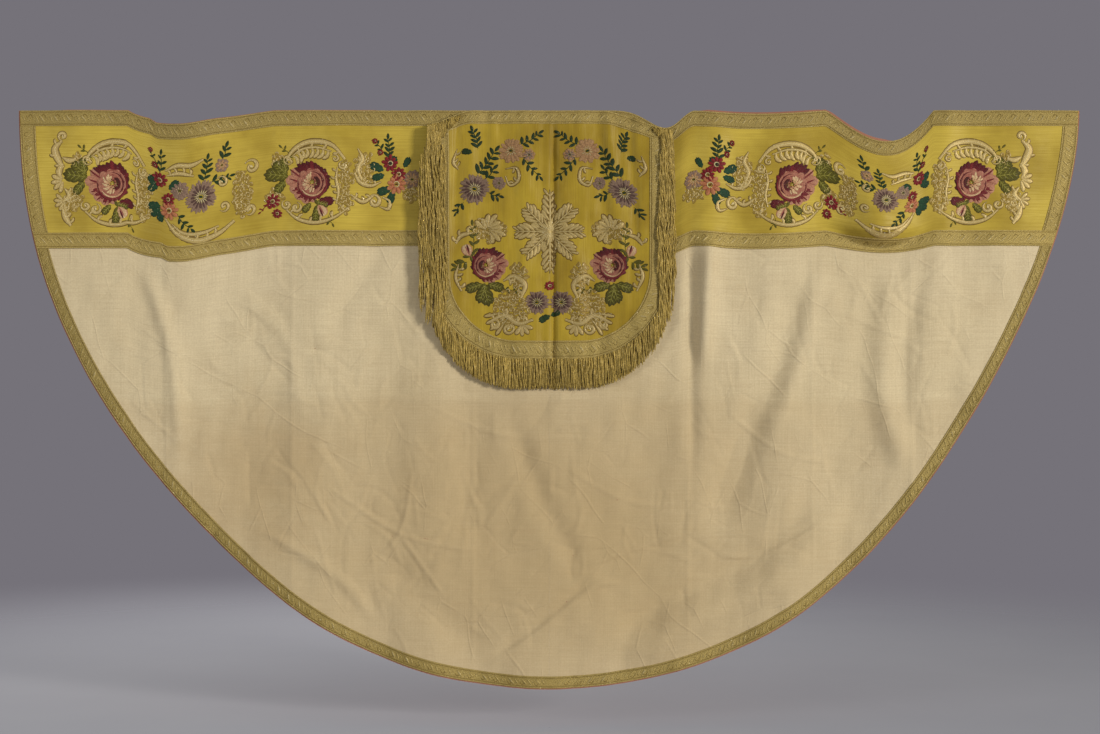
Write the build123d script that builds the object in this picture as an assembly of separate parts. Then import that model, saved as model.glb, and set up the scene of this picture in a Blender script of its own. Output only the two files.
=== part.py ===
from build123d import *
import math
import os

# A semicircular church cope (pluvial) with an orphrey band, a fringed hood and a
# clasp tab, pinned along its straight edge and hanging flat, face forward.
#
# Frame: +Z up, +X along the straight (neck) edge, the decorated face looks along -Y.
# The origin is the middle of the straight edge, on the rear plane of the cloak.
# "Depth" below always means distance forward of the rear plane, so y = -depth.

# ---------------------------------------------------------------- driving sizes (mm)
DROP = 1405.0                 # neck edge to the lowest point of the hem
HALF_WIDTH = 1290.0           # centre back to the end of the straight edge, as hung
PULL_LEFT = 38.0              # how far the hanging cloth draws the side hems in
PULL_RIGHT = 62.0
BAND_HEIGHT = 330.0           # orphrey band along the straight edge
GALLOON = 38.0                # braid round the band
HEM_GALLOON = 29.0            # braid along the curved hem
LINING_EDGE = 6.0             # lining rolled out past the hem braid
FOLD_X = 335.0                # the two vertical folds, either side of the hood
HALF_GAP = 0.2                # half the cut between two bodies or two pieces

HOOD_HALF = 244.0             # silk field of the hood, centre to braid
HOOD_BOTTOM = 561.0
HOOD_CORNER = 170.0
HOOD_TOP = 2.0                # the hood's top edge, below the neck edge
HOOD_TOP_GALLOON = 32.0
HOOD_GALLOON = 42.0           # braid round the sides and bottom of the hood
HEADING = 8.0                 # woven heading that holds the fringe strands
FRINGE_HALF = 314.0           # outer limits of the hanging fringe
FRINGE_BOTTOM = 681.0
FRINGE_CORNER = 250.0
FRINGE_START = 30.0           # the side fringes begin this far down

TAB_LEFT, TAB_RIGHT = 420.0, 560.0   # clasp tab, folded back behind the right front
TAB_LENGTH = 160.0
WIRE = 0.7                    # radius of the hook and eye wire
CLASPS = 3                    # hooks on the tab, and eyes opposite

# ------------------------------------------------------------------ layers of cloth
# Depth of each layer's rear and front face, counted from the lining's rear face.
LINING = (0.0, 0.8)
BODY_CLOTH = (1.0, 1.8)
CANVAS = (2.0, 2.8)
BAND_SILK = (3.0, 3.8)
BAND_BRAID = (4.0, 5.0)
HEM_BRAID = (2.0, 3.0)

HOOD_LINING = (0.0, 0.8)
HOOD_BUCKRAM = (1.0, 2.0)
HOOD_SILK = (2.2, 3.0)
HOOD_BRAID = (3.2, 4.4)
FRINGE_LAYER = (0.6, 4.2)

# ------------------------------------------------------------------- hanging shape
# Depth of the rear face along x: flutes between the pins, and valleys at the folds.
BACK_DEPTH = [(-FOLD_X, 0), (-240, 4), (-120, 0), (120, 0), (270, 8), (FOLD_X, 0)]
LEFT_DEPTH = [(-1320, 6), (-1020, 4), (-865, 26), (-664, 6), (-500, 14), (-FOLD_X, 0)]
RIGHT_DEPTH = [(FOLD_X, 0), (515, 10), (673, 6), (740, 38), (790, 52), (860, 52), (934, 10),
               (1020, 6), (1150, 12), (1320, 6)]
HOOD_DEPTH = [(-320, 34), (-240, 22), (-120, 20), (0, 15), (120, 20), (240, 22), (320, 26)]

# Height of the neck edge along x: level at the pins, sagging between them.
NECK_EDGE = [(-1320, 0), (-1020, 0), (-930, -20), (-865, -26), (-780, -20), (-664, 0),
             (139, 0), (215, -30), (283, -41), (FOLD_X, -12), (356, 0), (515, -8), (673, 0),
             (715, -38), (760, -68), (815, -75), (869, -70), (905, -40), (934, 0), (1320, 0)]

HEM_STEPS = 36                # straight stretches in each half of the hem
FAR = 2000.0                  # well outside the cloak
BAND_BOTTOM = -BAND_HEIGHT


def level(stations, x):
    """The height or depth at x of a line given by its corner stations."""
    for (x0, v0), (x1, v1) in zip(stations, stations[1:]):
        if x0 <= x <= x1:
            return v0 + (v1 - v0) * (x - x0) / (x1 - x0)
    return stations[0][1] if x < stations[0][0] else stations[-1][1]


def hem_point(turn):
    """The hem as hung, from the right end (turn 0) to the left end (turn pi)."""
    pull = PULL_RIGHT if turn < math.pi / 2 else PULL_LEFT
    down = math.sin(turn)
    side = math.copysign(1.0, math.cos(turn))
    drawn_in = pull * math.sin(math.pi * abs(down) ** 1.3) ** 2
    return HALF_WIDTH * math.cos(turn) - side * drawn_in, -DROP * down


def hem_line(inset):
    """The hem offset inwards by inset, as points from the right end to the left."""
    points = []
    nudge = 1e-4
    for i in range(2 * HEM_STEPS + 1):
        turn = math.pi * i / (2 * HEM_STEPS)
        x, z = hem_point(turn)
        before, after = hem_point(turn - nudge), hem_point(turn + nudge)
        dx, dz = after[0] - before[0], after[1] - before[1]
        length = math.hypot(dx, dz)
        points.append((x + inset * dz / length, z - inset * dx / length))
    return points


def neck_line(x0, x1, below):
    """Points along the neck edge from x0 to x1, lowered by below."""
    inside = [x for x, _ in NECK_EDGE if x0 < x < x1]
    return [(x, level(NECK_EDGE, x) - below) for x in [x0, *inside, x1]]


def prism(outline):
    """A solid with the given (x, z) outline, right through the cloak in y."""
    face = make_face(Plane.XZ * Polyline(*outline, close=True))
    return extrude(face, amount=FAR / 4, both=True)


def slab(stations, layer, x0, x1):
    """One pleated layer of cloth between x0 and x1, far taller than the cloak."""
    rear, front = layer
    inside = [x for x, _ in stations if x0 < x < x1]
    across = [x0, *inside, x1]
    back_line = [(x, -level(stations, x) - rear) for x in across]
    front_line = [(x, -level(stations, x) - front) for x in reversed(across)]
    face = make_face(Polyline(*back_line, *front_line, close=True))
    return extrude(face, amount=FAR, both=True)


def box(x0, x1, z0, z1):
    """A prism with a rectangular (x, z) outline."""
    return prism([(x0, z0), (x1, z0), (x1, z1), (x0, z1)])


def cloak_outline(below, inset):
    """The whole cloak, below the neck edge and inside the hem."""
    hem = hem_line(inset)
    neck = neck_line(hem[-1][0], hem[0][0], below)
    return prism(hem + neck[1:-1] if below == 0 else hem[1:-1] + neck)


def band_outline(below, bottom, inset):
    """A strip of the cloak from below the neck edge down to a level bottom."""
    return cloak_outline(below, inset) & box(-FAR, FAR, bottom, FAR / 4)


def hood_outline(margin, top):
    """The hood's U shape grown by margin, below its top edge lowered by top."""
    half, bottom, corner = HOOD_HALF + margin, -HOOD_BOTTOM - margin, HOOD_CORNER + margin
    return u_shape(half, bottom, corner) & prism(hood_top_line(top) + [(FAR, -FAR), (-FAR, -FAR)])


def hood_top_line(lowered):
    """The hood's top edge: level, then falling towards its right corner."""
    z = -HOOD_TOP - lowered
    return [(-FAR, z - 10), (-297, z - 10), (-262, z), (139, z), (286, z - 40), (FAR, z - 48)]


def u_shape(half, bottom, corner):
    """A block with straight sides and two round lower corners."""
    face = make_face(Plane.XZ * (
        Line((-half, 0), (-half, bottom + corner))
        + RadiusArc((-half, bottom + corner), (-half + corner, bottom), -corner)
        + Line((-half + corner, bottom), (half - corner, bottom))
        + RadiusArc((half - corner, bottom), (half, bottom + corner), -corner)
        + Line((half, bottom + corner), (half, 0))
        + Line((half, 0), (-half, 0))))
    return extrude(face, amount=FAR / 4, both=True)


def write(name, shape):
    """Save one piece as its own part file."""
    solids = shape.solids()
    print(name, len(solids), "solids", round(sum(s.volume for s in solids) / 1000, 1), "cm3")
    export_step(solids[0] if len(solids) == 1 else Compound(children=list(solids)),
                f"parts/{name}.step")


# ------------------------------------------------------------------ the cloak itself
def cloak_section(side, stations, x0, x1):
    """Every layer of one section of the cloak, between x0 and x1."""
    write(f"lining_{side}", slab(stations, LINING, x0, x1) & cloak_outline(1.0, -LINING_EDGE))
    write(f"body_cloth_{side}", slab(stations, BODY_CLOTH, x0, x1) & cloak_outline(0.0, 0.0))
    band_slab = band_outline(4.0, BAND_BOTTOM + 4.0, 4.0)
    write(f"orphrey_canvas_{side}", slab(stations, CANVAS, x0, x1) & band_slab)

    silk = slab(stations, BAND_SILK, x0, x1) & band_outline(0.0, BAND_BOTTOM, 0.0)
    if side == "back":
        write("orphrey_silk_back_left", silk & box(-FAR, -HALF_GAP, -FAR, FAR))
        write("orphrey_silk_back_right", silk & box(HALF_GAP, FAR, -FAR, FAR))
    else:
        write(f"orphrey_silk_{side}", silk)

    braid = slab(stations, BAND_BRAID, x0, x1)
    whole = braid & band_outline(0.0, BAND_BOTTOM, 0.0)
    write(f"top_galloon_{side}", whole - band_outline(GALLOON, BAND_BOTTOM - 1.0, -FAR / 20))
    write(f"lower_galloon_{side}", whole & box(-FAR, FAR, -FAR, BAND_BOTTOM + GALLOON))
    if side != "back":
        between = band_outline(GALLOON + HALF_GAP, BAND_BOTTOM + GALLOON + HALF_GAP, 0.0)
        write(f"end_galloon_{side}", (braid & between) - cloak_outline(-FAR / 20, GALLOON))

    hem = slab(stations, HEM_BRAID, x0, x1) & cloak_outline(0.0, 0.0)
    below_band = box(-FAR, FAR, -FAR, BAND_BOTTOM - HALF_GAP)
    write(f"hem_galloon_{side}", (hem & below_band) - cloak_outline(-FAR / 20, HEM_GALLOON))


# ------------------------------------------------------------------------- the hood
def hood_pieces():
    """The hood's backing, silk, braids and the fringe round its edge."""
    left = box(-FAR, -HALF_GAP, -FAR, FAR)
    right = box(HALF_GAP, FAR, -FAR, FAR)
    full = hood_outline(HOOD_GALLOON, 0.0)
    field_top = HOOD_TOP_GALLOON

    def layer(depths):
        return slab(HOOD_DEPTH, depths, -FRINGE_HALF - 5, FRINGE_HALF + 5)

    write("hood_lining", layer(HOOD_LINING) & hood_outline(HOOD_GALLOON - 2.0, 1.0))
    write("hood_buckram", layer(HOOD_BUCKRAM) & hood_outline(HOOD_GALLOON - 4.0, 2.0))
    silk = layer(HOOD_SILK) & full
    write("hood_silk_left", silk & left)
    write("hood_silk_right", silk & right)

    braid = layer(HOOD_BRAID)
    write("hood_top_galloon", (braid & full) - hood_outline(HOOD_GALLOON + 5.0, field_top))
    border = hood_outline(HOOD_GALLOON, field_top + HALF_GAP) - hood_outline(0.0, -FAR / 20)
    write("hood_border_galloon", braid & border)

    heading_edge = HOOD_GALLOON + HEADING
    heading = hood_outline(heading_edge, FRINGE_START) - hood_outline(HOOD_GALLOON + HALF_GAP, -FAR / 20)
    write("fringe_heading", braid & heading)

    outer = u_shape(FRINGE_HALF, -FRINGE_BOTTOM, FRINGE_CORNER)
    strands = layer(FRINGE_LAYER) & outer & box(-FAR, FAR, -FAR, -FRINGE_START - HOOD_TOP)
    strands = strands - hood_outline(heading_edge + HALF_GAP, -FAR / 20)
    fold = -HOOD_BOTTOM - heading_edge
    above, below = box(-FAR, FAR, fold, FAR), box(-FAR, FAR, -FAR, fold - 2 * HALF_GAP)
    write("side_fringe_left", strands & above & left)
    write("side_fringe_right", strands & above & right)
    write("bottom_fringe", strands & below)


def hood_stitches():
    """Short bars of thread that tack the hood to the neck edge, behind its top."""
    bars = []
    count = 7
    reach = HOOD_HALF - 40
    for i in range(count):
        x = -reach + i * (reach + 110) / (count - 1)
        front = -level(HOOD_DEPTH, x) + 0.3
        rear = -level(BACK_DEPTH, x) - BAND_BRAID[1] - 0.2
        size = (3.0, rear - front, 1.5)
        bars.append(Pos(x, (rear + front) / 2, -HOOD_TOP - 3.0) * Box(*size))
    write("hood_stitches", Compound(children=bars))


# ------------------------------------------------------------------------ the clasp
def wire_loop(x, y, z, width, height):
    """A U of wire standing in the xz plane, its legs upwards."""
    half = width / 2 - WIRE
    path = (Line((-half, height), (-half, half))
            + RadiusArc((-half, half), (half, half), -half)
            + Line((half, half), (half, height)))
    path = Plane.XZ.offset(0) * path
    start = Plane(path @ 0, z_dir=path % 0)
    return Pos(x, y, z) * sweep(start * Circle(WIRE), path=path)


def clasp_pieces():
    """The lined tab behind the right front, its hooks, and the eyes opposite."""
    rear_depth, front_depth = 1.2, 3.2
    middle = (TAB_LEFT + TAB_RIGHT) / 2
    top, tab_width = -12.0, TAB_RIGHT - TAB_LEFT
    blank = Pos(middle, -(rear_depth + front_depth) / 2, top - TAB_LENGTH / 2) * Box(
        tab_width, front_depth - rear_depth, TAB_LENGTH)
    corners = blank.edges().filter_by(Axis.Y).group_by(Axis.Z)[0]
    write("clasp_tab", fillet(corners, 12.0))

    hooks, eyes = [], []
    pitch = tab_width / CLASPS
    wire_depth = (rear_depth + front_depth) / 2
    for i in range(CLASPS):
        offset = (i - (CLASPS - 1) / 2) * pitch
        hooks.append(wire_loop(middle + offset, -wire_depth, top - TAB_LENGTH - 12.3, 8.0, 12.0))
        eyes.append(wire_loop(-middle + offset, -wire_depth, top - 14.0, 10.0, 12.0))
    write("clasp_hooks", Compound(children=hooks))
    write("clasp_eyes", Compound(children=eyes))


os.makedirs("parts", exist_ok=True)
cloak_section("back", BACK_DEPTH, -FOLD_X + HALF_GAP, FOLD_X - HALF_GAP)
cloak_section("left", LEFT_DEPTH, -FAR, -FOLD_X - HALF_GAP)
cloak_section("right", RIGHT_DEPTH, FOLD_X + HALF_GAP, FAR)
hood_pieces()
hood_stitches()
clasp_pieces()
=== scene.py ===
"""The looks of a semicircular cope, pinned out by its straight neck edge, face forward.

Every layer of the cloak and the hood is laid on one of two hanging surfaces, CLOAK and
HOOD. A place on a surface is given in the plane of the wall: x along the neck edge and
z upwards, both in metres, as the cloth would lie if the neck edge did not sag. `lift` is
the distance in front of the lining's rear face, along the surface normal.
"""
import math

import bmesh
import bpy
import numpy as np
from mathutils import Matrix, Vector


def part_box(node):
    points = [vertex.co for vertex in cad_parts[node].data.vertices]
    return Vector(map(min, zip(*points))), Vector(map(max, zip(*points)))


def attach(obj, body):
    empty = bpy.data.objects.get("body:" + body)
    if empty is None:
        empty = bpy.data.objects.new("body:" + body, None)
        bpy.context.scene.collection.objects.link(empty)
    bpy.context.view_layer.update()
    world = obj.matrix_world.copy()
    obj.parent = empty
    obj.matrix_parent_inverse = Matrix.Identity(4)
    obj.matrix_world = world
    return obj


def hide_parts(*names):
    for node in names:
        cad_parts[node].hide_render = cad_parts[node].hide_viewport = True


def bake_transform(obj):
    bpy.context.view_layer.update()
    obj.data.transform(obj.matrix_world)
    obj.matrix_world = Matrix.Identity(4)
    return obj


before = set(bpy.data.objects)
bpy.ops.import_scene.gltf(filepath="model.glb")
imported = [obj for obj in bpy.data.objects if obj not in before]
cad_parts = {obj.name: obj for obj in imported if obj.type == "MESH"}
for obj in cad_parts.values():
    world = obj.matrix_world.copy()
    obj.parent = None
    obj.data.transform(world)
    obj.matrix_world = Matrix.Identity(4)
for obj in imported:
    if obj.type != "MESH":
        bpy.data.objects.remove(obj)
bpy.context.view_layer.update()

# ============================================================ sizes, from the frame
MM = 0.001
HALF_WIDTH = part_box("body_cloth_right")[1].x
DROP = -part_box("body_cloth_back")[0].z
BAND = -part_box("orphrey_silk_left")[0].z
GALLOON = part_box("lower_galloon_left")[1].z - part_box("lower_galloon_left")[0].z
HOOD_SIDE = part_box("hood_border_galloon")[1].x
HOOD_LOW = -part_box("hood_border_galloon")[0].z
FRINGE_LOW = -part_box("bottom_fringe")[0].z
FRINGE_TOP = -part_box("bottom_fringe")[1].z

HOOD_BRAID = 42 * MM
HEM_BRAID = 29 * MM
LINING_EDGE = 3 * MM                       # how far the lining shows past the hem
# How far the hanging sides are drawn in, and how low down they are drawn in most.
PULL = {-1: (53 * MM, 2.10), 1: (71 * MM, 1.25)}
HOOD_CORNER = 212 * MM                     # outer corner radius of the hood's braid
HOOD_TOP_BRAID = 32 * MM

# rear and front lift of each layer
LINING = (0.0, 0.8 * MM)
CLOTH = (1.0 * MM, 1.8 * MM)
CANVAS = (2.0 * MM, 2.8 * MM)
SILK = (3.0 * MM, 3.7 * MM)
BRAID = (3.9 * MM, 4.8 * MM)
HEM = (2.0 * MM, 3.0 * MM)
SIDES = {-1: "left", 1: "right"}


# ===================================================================== shape helpers
def ramp(start, end, value):
    """0 before start, 1 after end, smooth between."""
    t = np.clip((value - start) / (end - start), 0.0, 1.0)
    return t * t * (3.0 - 2.0 * t)


def bell(value):
    """1 at 0, falling smoothly to nothing about 2.5 away."""
    return np.exp(-np.square(value))


def ripple(x, z, length, seed, stretch=1.0):
    """Smooth random waves of about the given length, from a sum of cosines."""
    dice = np.random.default_rng(seed)
    total = np.zeros_like(x)
    waves = 14
    for _ in range(waves):
        angle, phase = dice.uniform(0, 2 * math.pi, 2)
        rate = 2 * math.pi / (length * dice.uniform(0.7, 1.6))
        total += np.cos(rate * (x * math.cos(angle) * stretch + z * math.sin(angle)) + phase)
    return total / math.sqrt(waves)


def distance_to_path(x, z, path):
    """Distance from each place to a line through the path's points, and how far along."""
    best = np.full_like(x, 1e9)
    along = np.zeros_like(x)
    count = len(path) - 1
    for i in range(count):
        (x0, z0), (x1, z1) = path[i], path[i + 1]
        dx, dz = x1 - x0, z1 - z0
        t = np.clip(((x - x0) * dx + (z - z0) * dz) / (dx * dx + dz * dz), 0, 1)
        distance = np.hypot(x - x0 - t * dx, z - z0 - t * dz)
        nearer = distance < best
        best = np.where(nearer, distance, best)
        along = np.where(nearer, (i + t) / count, along)
    return best, along


def looseness(down):
    """How freely the cloth creases: the stiffened band does so much less than the rest."""
    return 0.30 + 0.70 * ramp(BAND - 0.03, BAND + 0.05, down)


def press(depth, x, z, path, height, width):
    """Presses one crease, height and half width in mm, into the depth table near its path."""
    path = smooth_path(path, 3 * len(path)) if len(path) > 2 else np.array(path)
    faded_out = 2.6
    reach = faded_out * width * MM
    (x0, z0), (x1, z1) = path.min(axis=0) - reach, path.max(axis=0) + reach
    columns = slice(*np.searchsorted(x[0], (x0, x1)))
    rows = slice(*np.searchsorted(z[:, 0], (z0, z1)))
    near_x, near_z = x[rows, columns], z[rows, columns]
    away, along = distance_to_path(near_x, near_z, path)
    ends = ramp(0.0, 0.2, along) * (1.0 - ramp(0.8, 1.0, along))
    depth[rows, columns] += looseness(-near_z) * height * MM * ends * bell(away / (width * MM))


def smooth_path(points, count):
    """A Catmull-Rom curve through the points."""
    points = np.asarray(points, float)
    ends = np.vstack([2 * points[0] - points[1], points, 2 * points[-1] - points[-2]])
    s = np.linspace(0, len(points) - 1, count)
    i = np.minimum(s.astype(int), len(points) - 2)
    t = (s - i)[:, None]
    p0, p1, p2, p3 = ends[i], ends[i + 1], ends[i + 2], ends[i + 3]
    return 0.5 * (2 * p1 + (p2 - p0) * t + (2 * p0 - 5 * p1 + 4 * p2 - p3) * t ** 2
                  + (3 * p1 - p0 - 3 * p2 + p3) * t ** 3)


# ========================================================== how the cloak hangs
# Sags of the neck edge between its pins: (from x, to x, drop, where it is lowest,
# how narrow its bottom is, share of the drop left at the band's lower edge).
SAGS = [
    (-1.025, -0.668, 0.027, 0.36, 0.55, 1.00),
    (0.139, 0.356, 0.042, 0.66, 1.0, 0.55),
    (0.356, 0.673, 0.008, 0.50, 0.5, 1.00),
    (0.673, 0.936, 0.076, 0.56, 0.45, 0.22),
]
SAG_END = 0.95                             # depth at which no sag is felt any more
# Soft folds: (x at the neck, x at its reach, heights, half widths, reach down).
FLUTES = [
    (-1.150, -1.080, (0.006, 0.012), (0.075, 0.100), 0.60),
    (-0.865, -0.930, (0.022, 0.010), (0.080, 0.110), 0.75),
    (-0.500, -0.585, (0.012, 0.018), (0.075, 0.105), 0.95),
    (-0.300, -0.290, (0.004, 0.014), (0.040, 0.090), 0.90),
    (0.410, 0.345, (0.014, 0.010), (0.030, 0.090), 0.90),
    (0.560, 0.560, (0.009, 0.020), (0.080, 0.090), 0.85),
    (0.975, 0.900, (0.008, 0.016), (0.035, 0.080), 0.80),
    (1.150, 1.060, (0.007, 0.014), (0.080, 0.090), 0.60),
    (0.050, 0.020, (0.000, 0.016), (0.120, 0.170), 1.25),
]
# Creases and folds: (points, height, half width), in mm. Negative ones are valleys.
CREASES = [
    ([(-1.16, -0.640), (-0.55, -0.690), (0.00, -0.705), (0.62, -0.640), (1.15, -0.527)], 1.2, 5),
    ([(-0.930, 0.00), (-0.930, -0.99)], 1.1, 5),
    ([(-0.665, 0.02), (-0.660, -0.45)], 1.9, 5),
    ([(-0.625, 0.00), (-0.625, -1.25)], 1.1, 5),
    ([(-0.185, -0.60), (-0.185, -1.41)], 1.1, 5),
    ([(0.337, -0.34), (0.337, -1.38)], 1.1, 5),
    ([(0.640, 0.00), (0.640, -1.20)], 1.1, 5),
    ([(0.881, -0.30), (0.881, -1.02)], 1.1, 5),
    ([(-0.990, -0.34), (-0.932, -0.510), (-0.908, -0.640), (-0.900, -0.860)], 11.0, 20),
    ([(-0.400, -0.30), (-0.470, -0.430), (-0.560, -0.560)], -7.0, 26),
    ([(0.395, -0.27), (0.385, -0.420), (0.372, -0.640)], 20.0, 20),
    ([(0.345, -0.27), (0.345, -0.420), (0.350, -0.980)], -10.0, 18),
    ([(0.610, -0.34), (0.560, -0.600), (0.470, -0.830), (0.386, -1.050)], -14.0, 42),
    ([(0.660, -0.36), (0.610, -0.600), (0.520, -0.820)], 8.0, 26),
    ([(0.849, -0.34), (0.808, -0.640), (0.860, -0.900)], 12.0, 30),
    ([(0.915, -0.34), (0.868, -0.620), (0.900, -0.860)], -7.0, 24),
    ([(-0.195, -0.66), (-0.190, -1.080)], -7.0, 36),
    ([(-0.090, -0.74), (-0.020, -0.940), (0.080, -1.130)], -9.0, 30),
    ([(0.076, -1.113), (0.200, -1.070), (0.330, -1.030)], 3.4, 5),
    ([(-0.180, -1.372), (-0.030, -1.270), (0.107, -1.161), (0.190, -1.150)], 3.7, 5),
    ([(-0.150, -1.340), (0.000, -1.225), (0.110, -1.130)], -5.0, 16),
    ([(0.173, -1.357), (0.351, -1.242), (0.595, -1.113), (0.730, -0.900)], 18.0, 42),
    ([(0.130, -1.310), (0.310, -1.180), (0.540, -1.060), (0.640, -0.900)], -8.0, 30),
    ([(-0.380, -1.080), (-0.280, -1.220), (-0.150, -1.330)], -9.0, 40),
    ([(-0.560, -0.900), (-0.364, -1.030), (-0.160, -1.075)], 2.5, 5),
    ([(-0.480, -1.150), (-0.364, -1.030), (-0.330, -0.860)], 2.5, 5),
    ([(-0.364, -1.030), (-0.250, -1.190)], 2.2, 5),
    ([(-0.760, -0.420), (-0.640, -0.560), (-0.600, -0.760)], 5.0, 18),
    ([(0.420, -0.720), (0.560, -0.830), (0.700, -0.860)], 2.2, 5),
    ([(0.390, -1.080), (0.520, -1.080), (0.690, -0.990)], 3.1, 5),
    ([(-0.330, -0.700), (-0.120, -0.790), (0.120, -0.800)], 2.0, 5),
    ([(0.020, -0.860), (0.220, -0.960), (0.420, -0.930)], 1.9, 5),
    ([(-0.700, -1.020), (-0.520, -1.130), (-0.420, -1.250)], 5.0, 14),
    ([(0.700, -0.480), (0.930, -0.560), (1.060, -0.520)], 2.1, 5),
]
# Where the cloth is most crumpled: (count, middle x, middle z, spread of each, direction).
CRUMPLES = [
    (110, -0.42, -0.98, 0.20, 0.15, 35),
    (50, -0.10, -1.05, 0.28, 0.14, -20),
    (40, 0.30, -1.05, 0.20, 0.14, 20),
    (44, 0.66, -0.72, 0.22, 0.20, 25),
    (50, -0.80, -0.62, 0.22, 0.18, -40),
    (30, 0.90, -0.55, 0.16, 0.12, 10),
    (30, -0.45, -0.50, 0.22, 0.10, -60),
]
WALL_GAP = 2 * MM                          # between the wall and the cloak's neck edge
POUCH_X = 0.800                            # middle of the pocket under the deepest sag


def sag(x, z):
    """How far the cloth at (x, z) hangs below its place, because of the sags."""
    total = np.zeros_like(x)
    for x0, x1, drop, lowest, narrow, carried in SAGS:
        t = np.clip((x - x0) / (x1 - x0), 0.0, 1.0)
        skew = math.log(0.5) / math.log(lowest)
        shape = np.sin(math.pi * t ** skew) ** (2.0 * narrow)
        share = 1.0 + (carried - 1.0) * ramp(0.0, BAND, -z)
        total += drop * shape * share * (1.0 - ramp(BAND, SAG_END, -z))
    tuck = 0.008 * ramp(-0.975, -0.955, x + 0.10 * z) * (1.0 - ramp(-0.90, -0.80, x))
    slack = 0.006 * ramp(-0.60, -1.05, x) * ramp(0.05, BAND, -z)
    return total + (tuck + slack) * (1.0 - ramp(BAND, 0.60, -z))


def pouch(x, down):
    """The slack of the deepest sag, hanging forward as a pocket below the neck edge."""
    across = bell((x - POUCH_X) / 0.078)
    lip = 0.275 - 1.6 * np.square(x - POUCH_X)
    return across * (0.010 + 0.042 * ramp(0.02, 0.20, down)) * (1.0 - ramp(lip, lip + 0.045, down))


def crumples():
    """Short creases, as (path, height, half width), strewn where the cloth is crumpled."""
    dice = np.random.default_rng(17)
    for count, middle_x, middle_z, spread_x, spread_z, lean in CRUMPLES:
        for _ in range(count):
            start = np.array((dice.normal(middle_x, spread_x), dice.normal(middle_z, spread_z)))
            bearing = math.radians(lean + dice.choice((0, 75)) + dice.normal(0, 18))
            way = dice.uniform(0.05, 0.20) * np.array((math.cos(bearing), math.sin(bearing)))
            bow = dice.normal(0, 0.10) * np.array((-way[1], way[0]))
            width = dice.uniform(3.5, 7.0)
            height = dice.choice((-1.0, 1.0)) * dice.uniform(0.14, 0.30) * width
            yield (start, start + way / 2 + bow, start + way), height, width


def cloak_depth(x, z):
    """How far forward of the wall the lining's rear face hangs."""
    down = np.clip(-z, 0.0, DROP)
    depth = WALL_GAP + 0.006 * ramp(0.2, 1.2, down)
    for top, low, heights, widths, reach in FLUTES:
        t = np.clip(down / reach, 0.0, 1.0)
        centre = top + (low - top) * t
        width = widths[0] + (widths[1] - widths[0]) * t
        height = heights[0] + (heights[1] - heights[0]) * t
        depth = depth + height * bell((x - centre) / width)
    depth = depth + pouch(x, down)
    for path, height, width in (*CREASES, *crumples()):
        press(depth, x, z, path, height, width)
    for height, length, seed, stretch in ((0.0020, 0.24, 3, 1.5), (0.0009, 0.075, 4, 1.2),
                                          (0.00025, 0.030, 5, 1.0)):
        depth = depth + looseness(down) * height * ripple(x, z, length, seed, stretch)
    depth = np.maximum(depth, 0.3 * MM)
    for node in ("clasp_tab", "clasp_eyes"):       # the cloth stays in front of these
        low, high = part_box(node)
        held = bell((x - (low.x + high.x) / 2) / (high.x - low.x)) * ramp(0.07, 0.02, down)
        depth = depth + (0.4 * MM - low.y - depth) * held
    return depth


# =========================================================== how the hood hangs
HOOD_STAND = 17.5 * MM                     # from the wall to the hood's rear face
# Its folds: (x at the top, slant, height and half width in mm, depth at which they end).
HOOD_FOLDS = [
    (0.139, 1.0, 5.5, 15, 0.55),
    (0.196, 0.6, -4.0, 14, 0.45),
    (-0.183, -0.4, 4.5, 17, 0.50),
    (-0.225, -0.2, -3.5, 13, 0.60),
]


def hood_sag(x, z):
    """The hood's top edge falls away towards its right corner and rounds its left one."""
    right = 0.044 * ramp(0.120, 0.300, x)
    left = 0.034 * ramp(-0.185, -0.300, x)
    return (right + left) * (1.0 - ramp(0.10, 0.42, -z))


def hood_depth(x, z):
    """How far forward of the wall the hood's rear face hangs."""
    down = np.clip(-z, 0.0, 0.8)
    depth = HOOD_STAND + 0.016 * ramp(-0.17, -0.31, x) * (1.0 - 0.4 * ramp(0.3, 0.6, down))
    depth = depth + 0.007 * ramp(0.14, 0.25, x) - 0.006 * ramp(0.27, 0.33, x)
    # A sharp valley beside the middle, a low ridge next to it and a swell on each half.
    creased = ramp(0.01, 0.08, down)
    depth = depth - 0.0090 * bell((x - 0.011) / 0.0075) * creased
    depth = depth + 0.0012 * bell((x + 0.004) / 0.008) * creased
    depth = depth + 0.005 * bell((np.abs(x) - 0.060) / 0.035)
    lean = 0.10 * down
    for middle, slant, height, width, reach in HOOD_FOLDS:
        fold = bell((x - middle - slant * lean) / (width * MM))
        depth = depth + height * MM * fold * (1.0 - ramp(0.25, reach, down))
    depth = depth + 0.003 * ramp(0.30, 0.62, down)
    return depth + 0.0012 * ripple(x, z, 0.12, 7, 2.4) + 0.0004 * ripple(x, z, 0.05, 8, 2.0)


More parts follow.
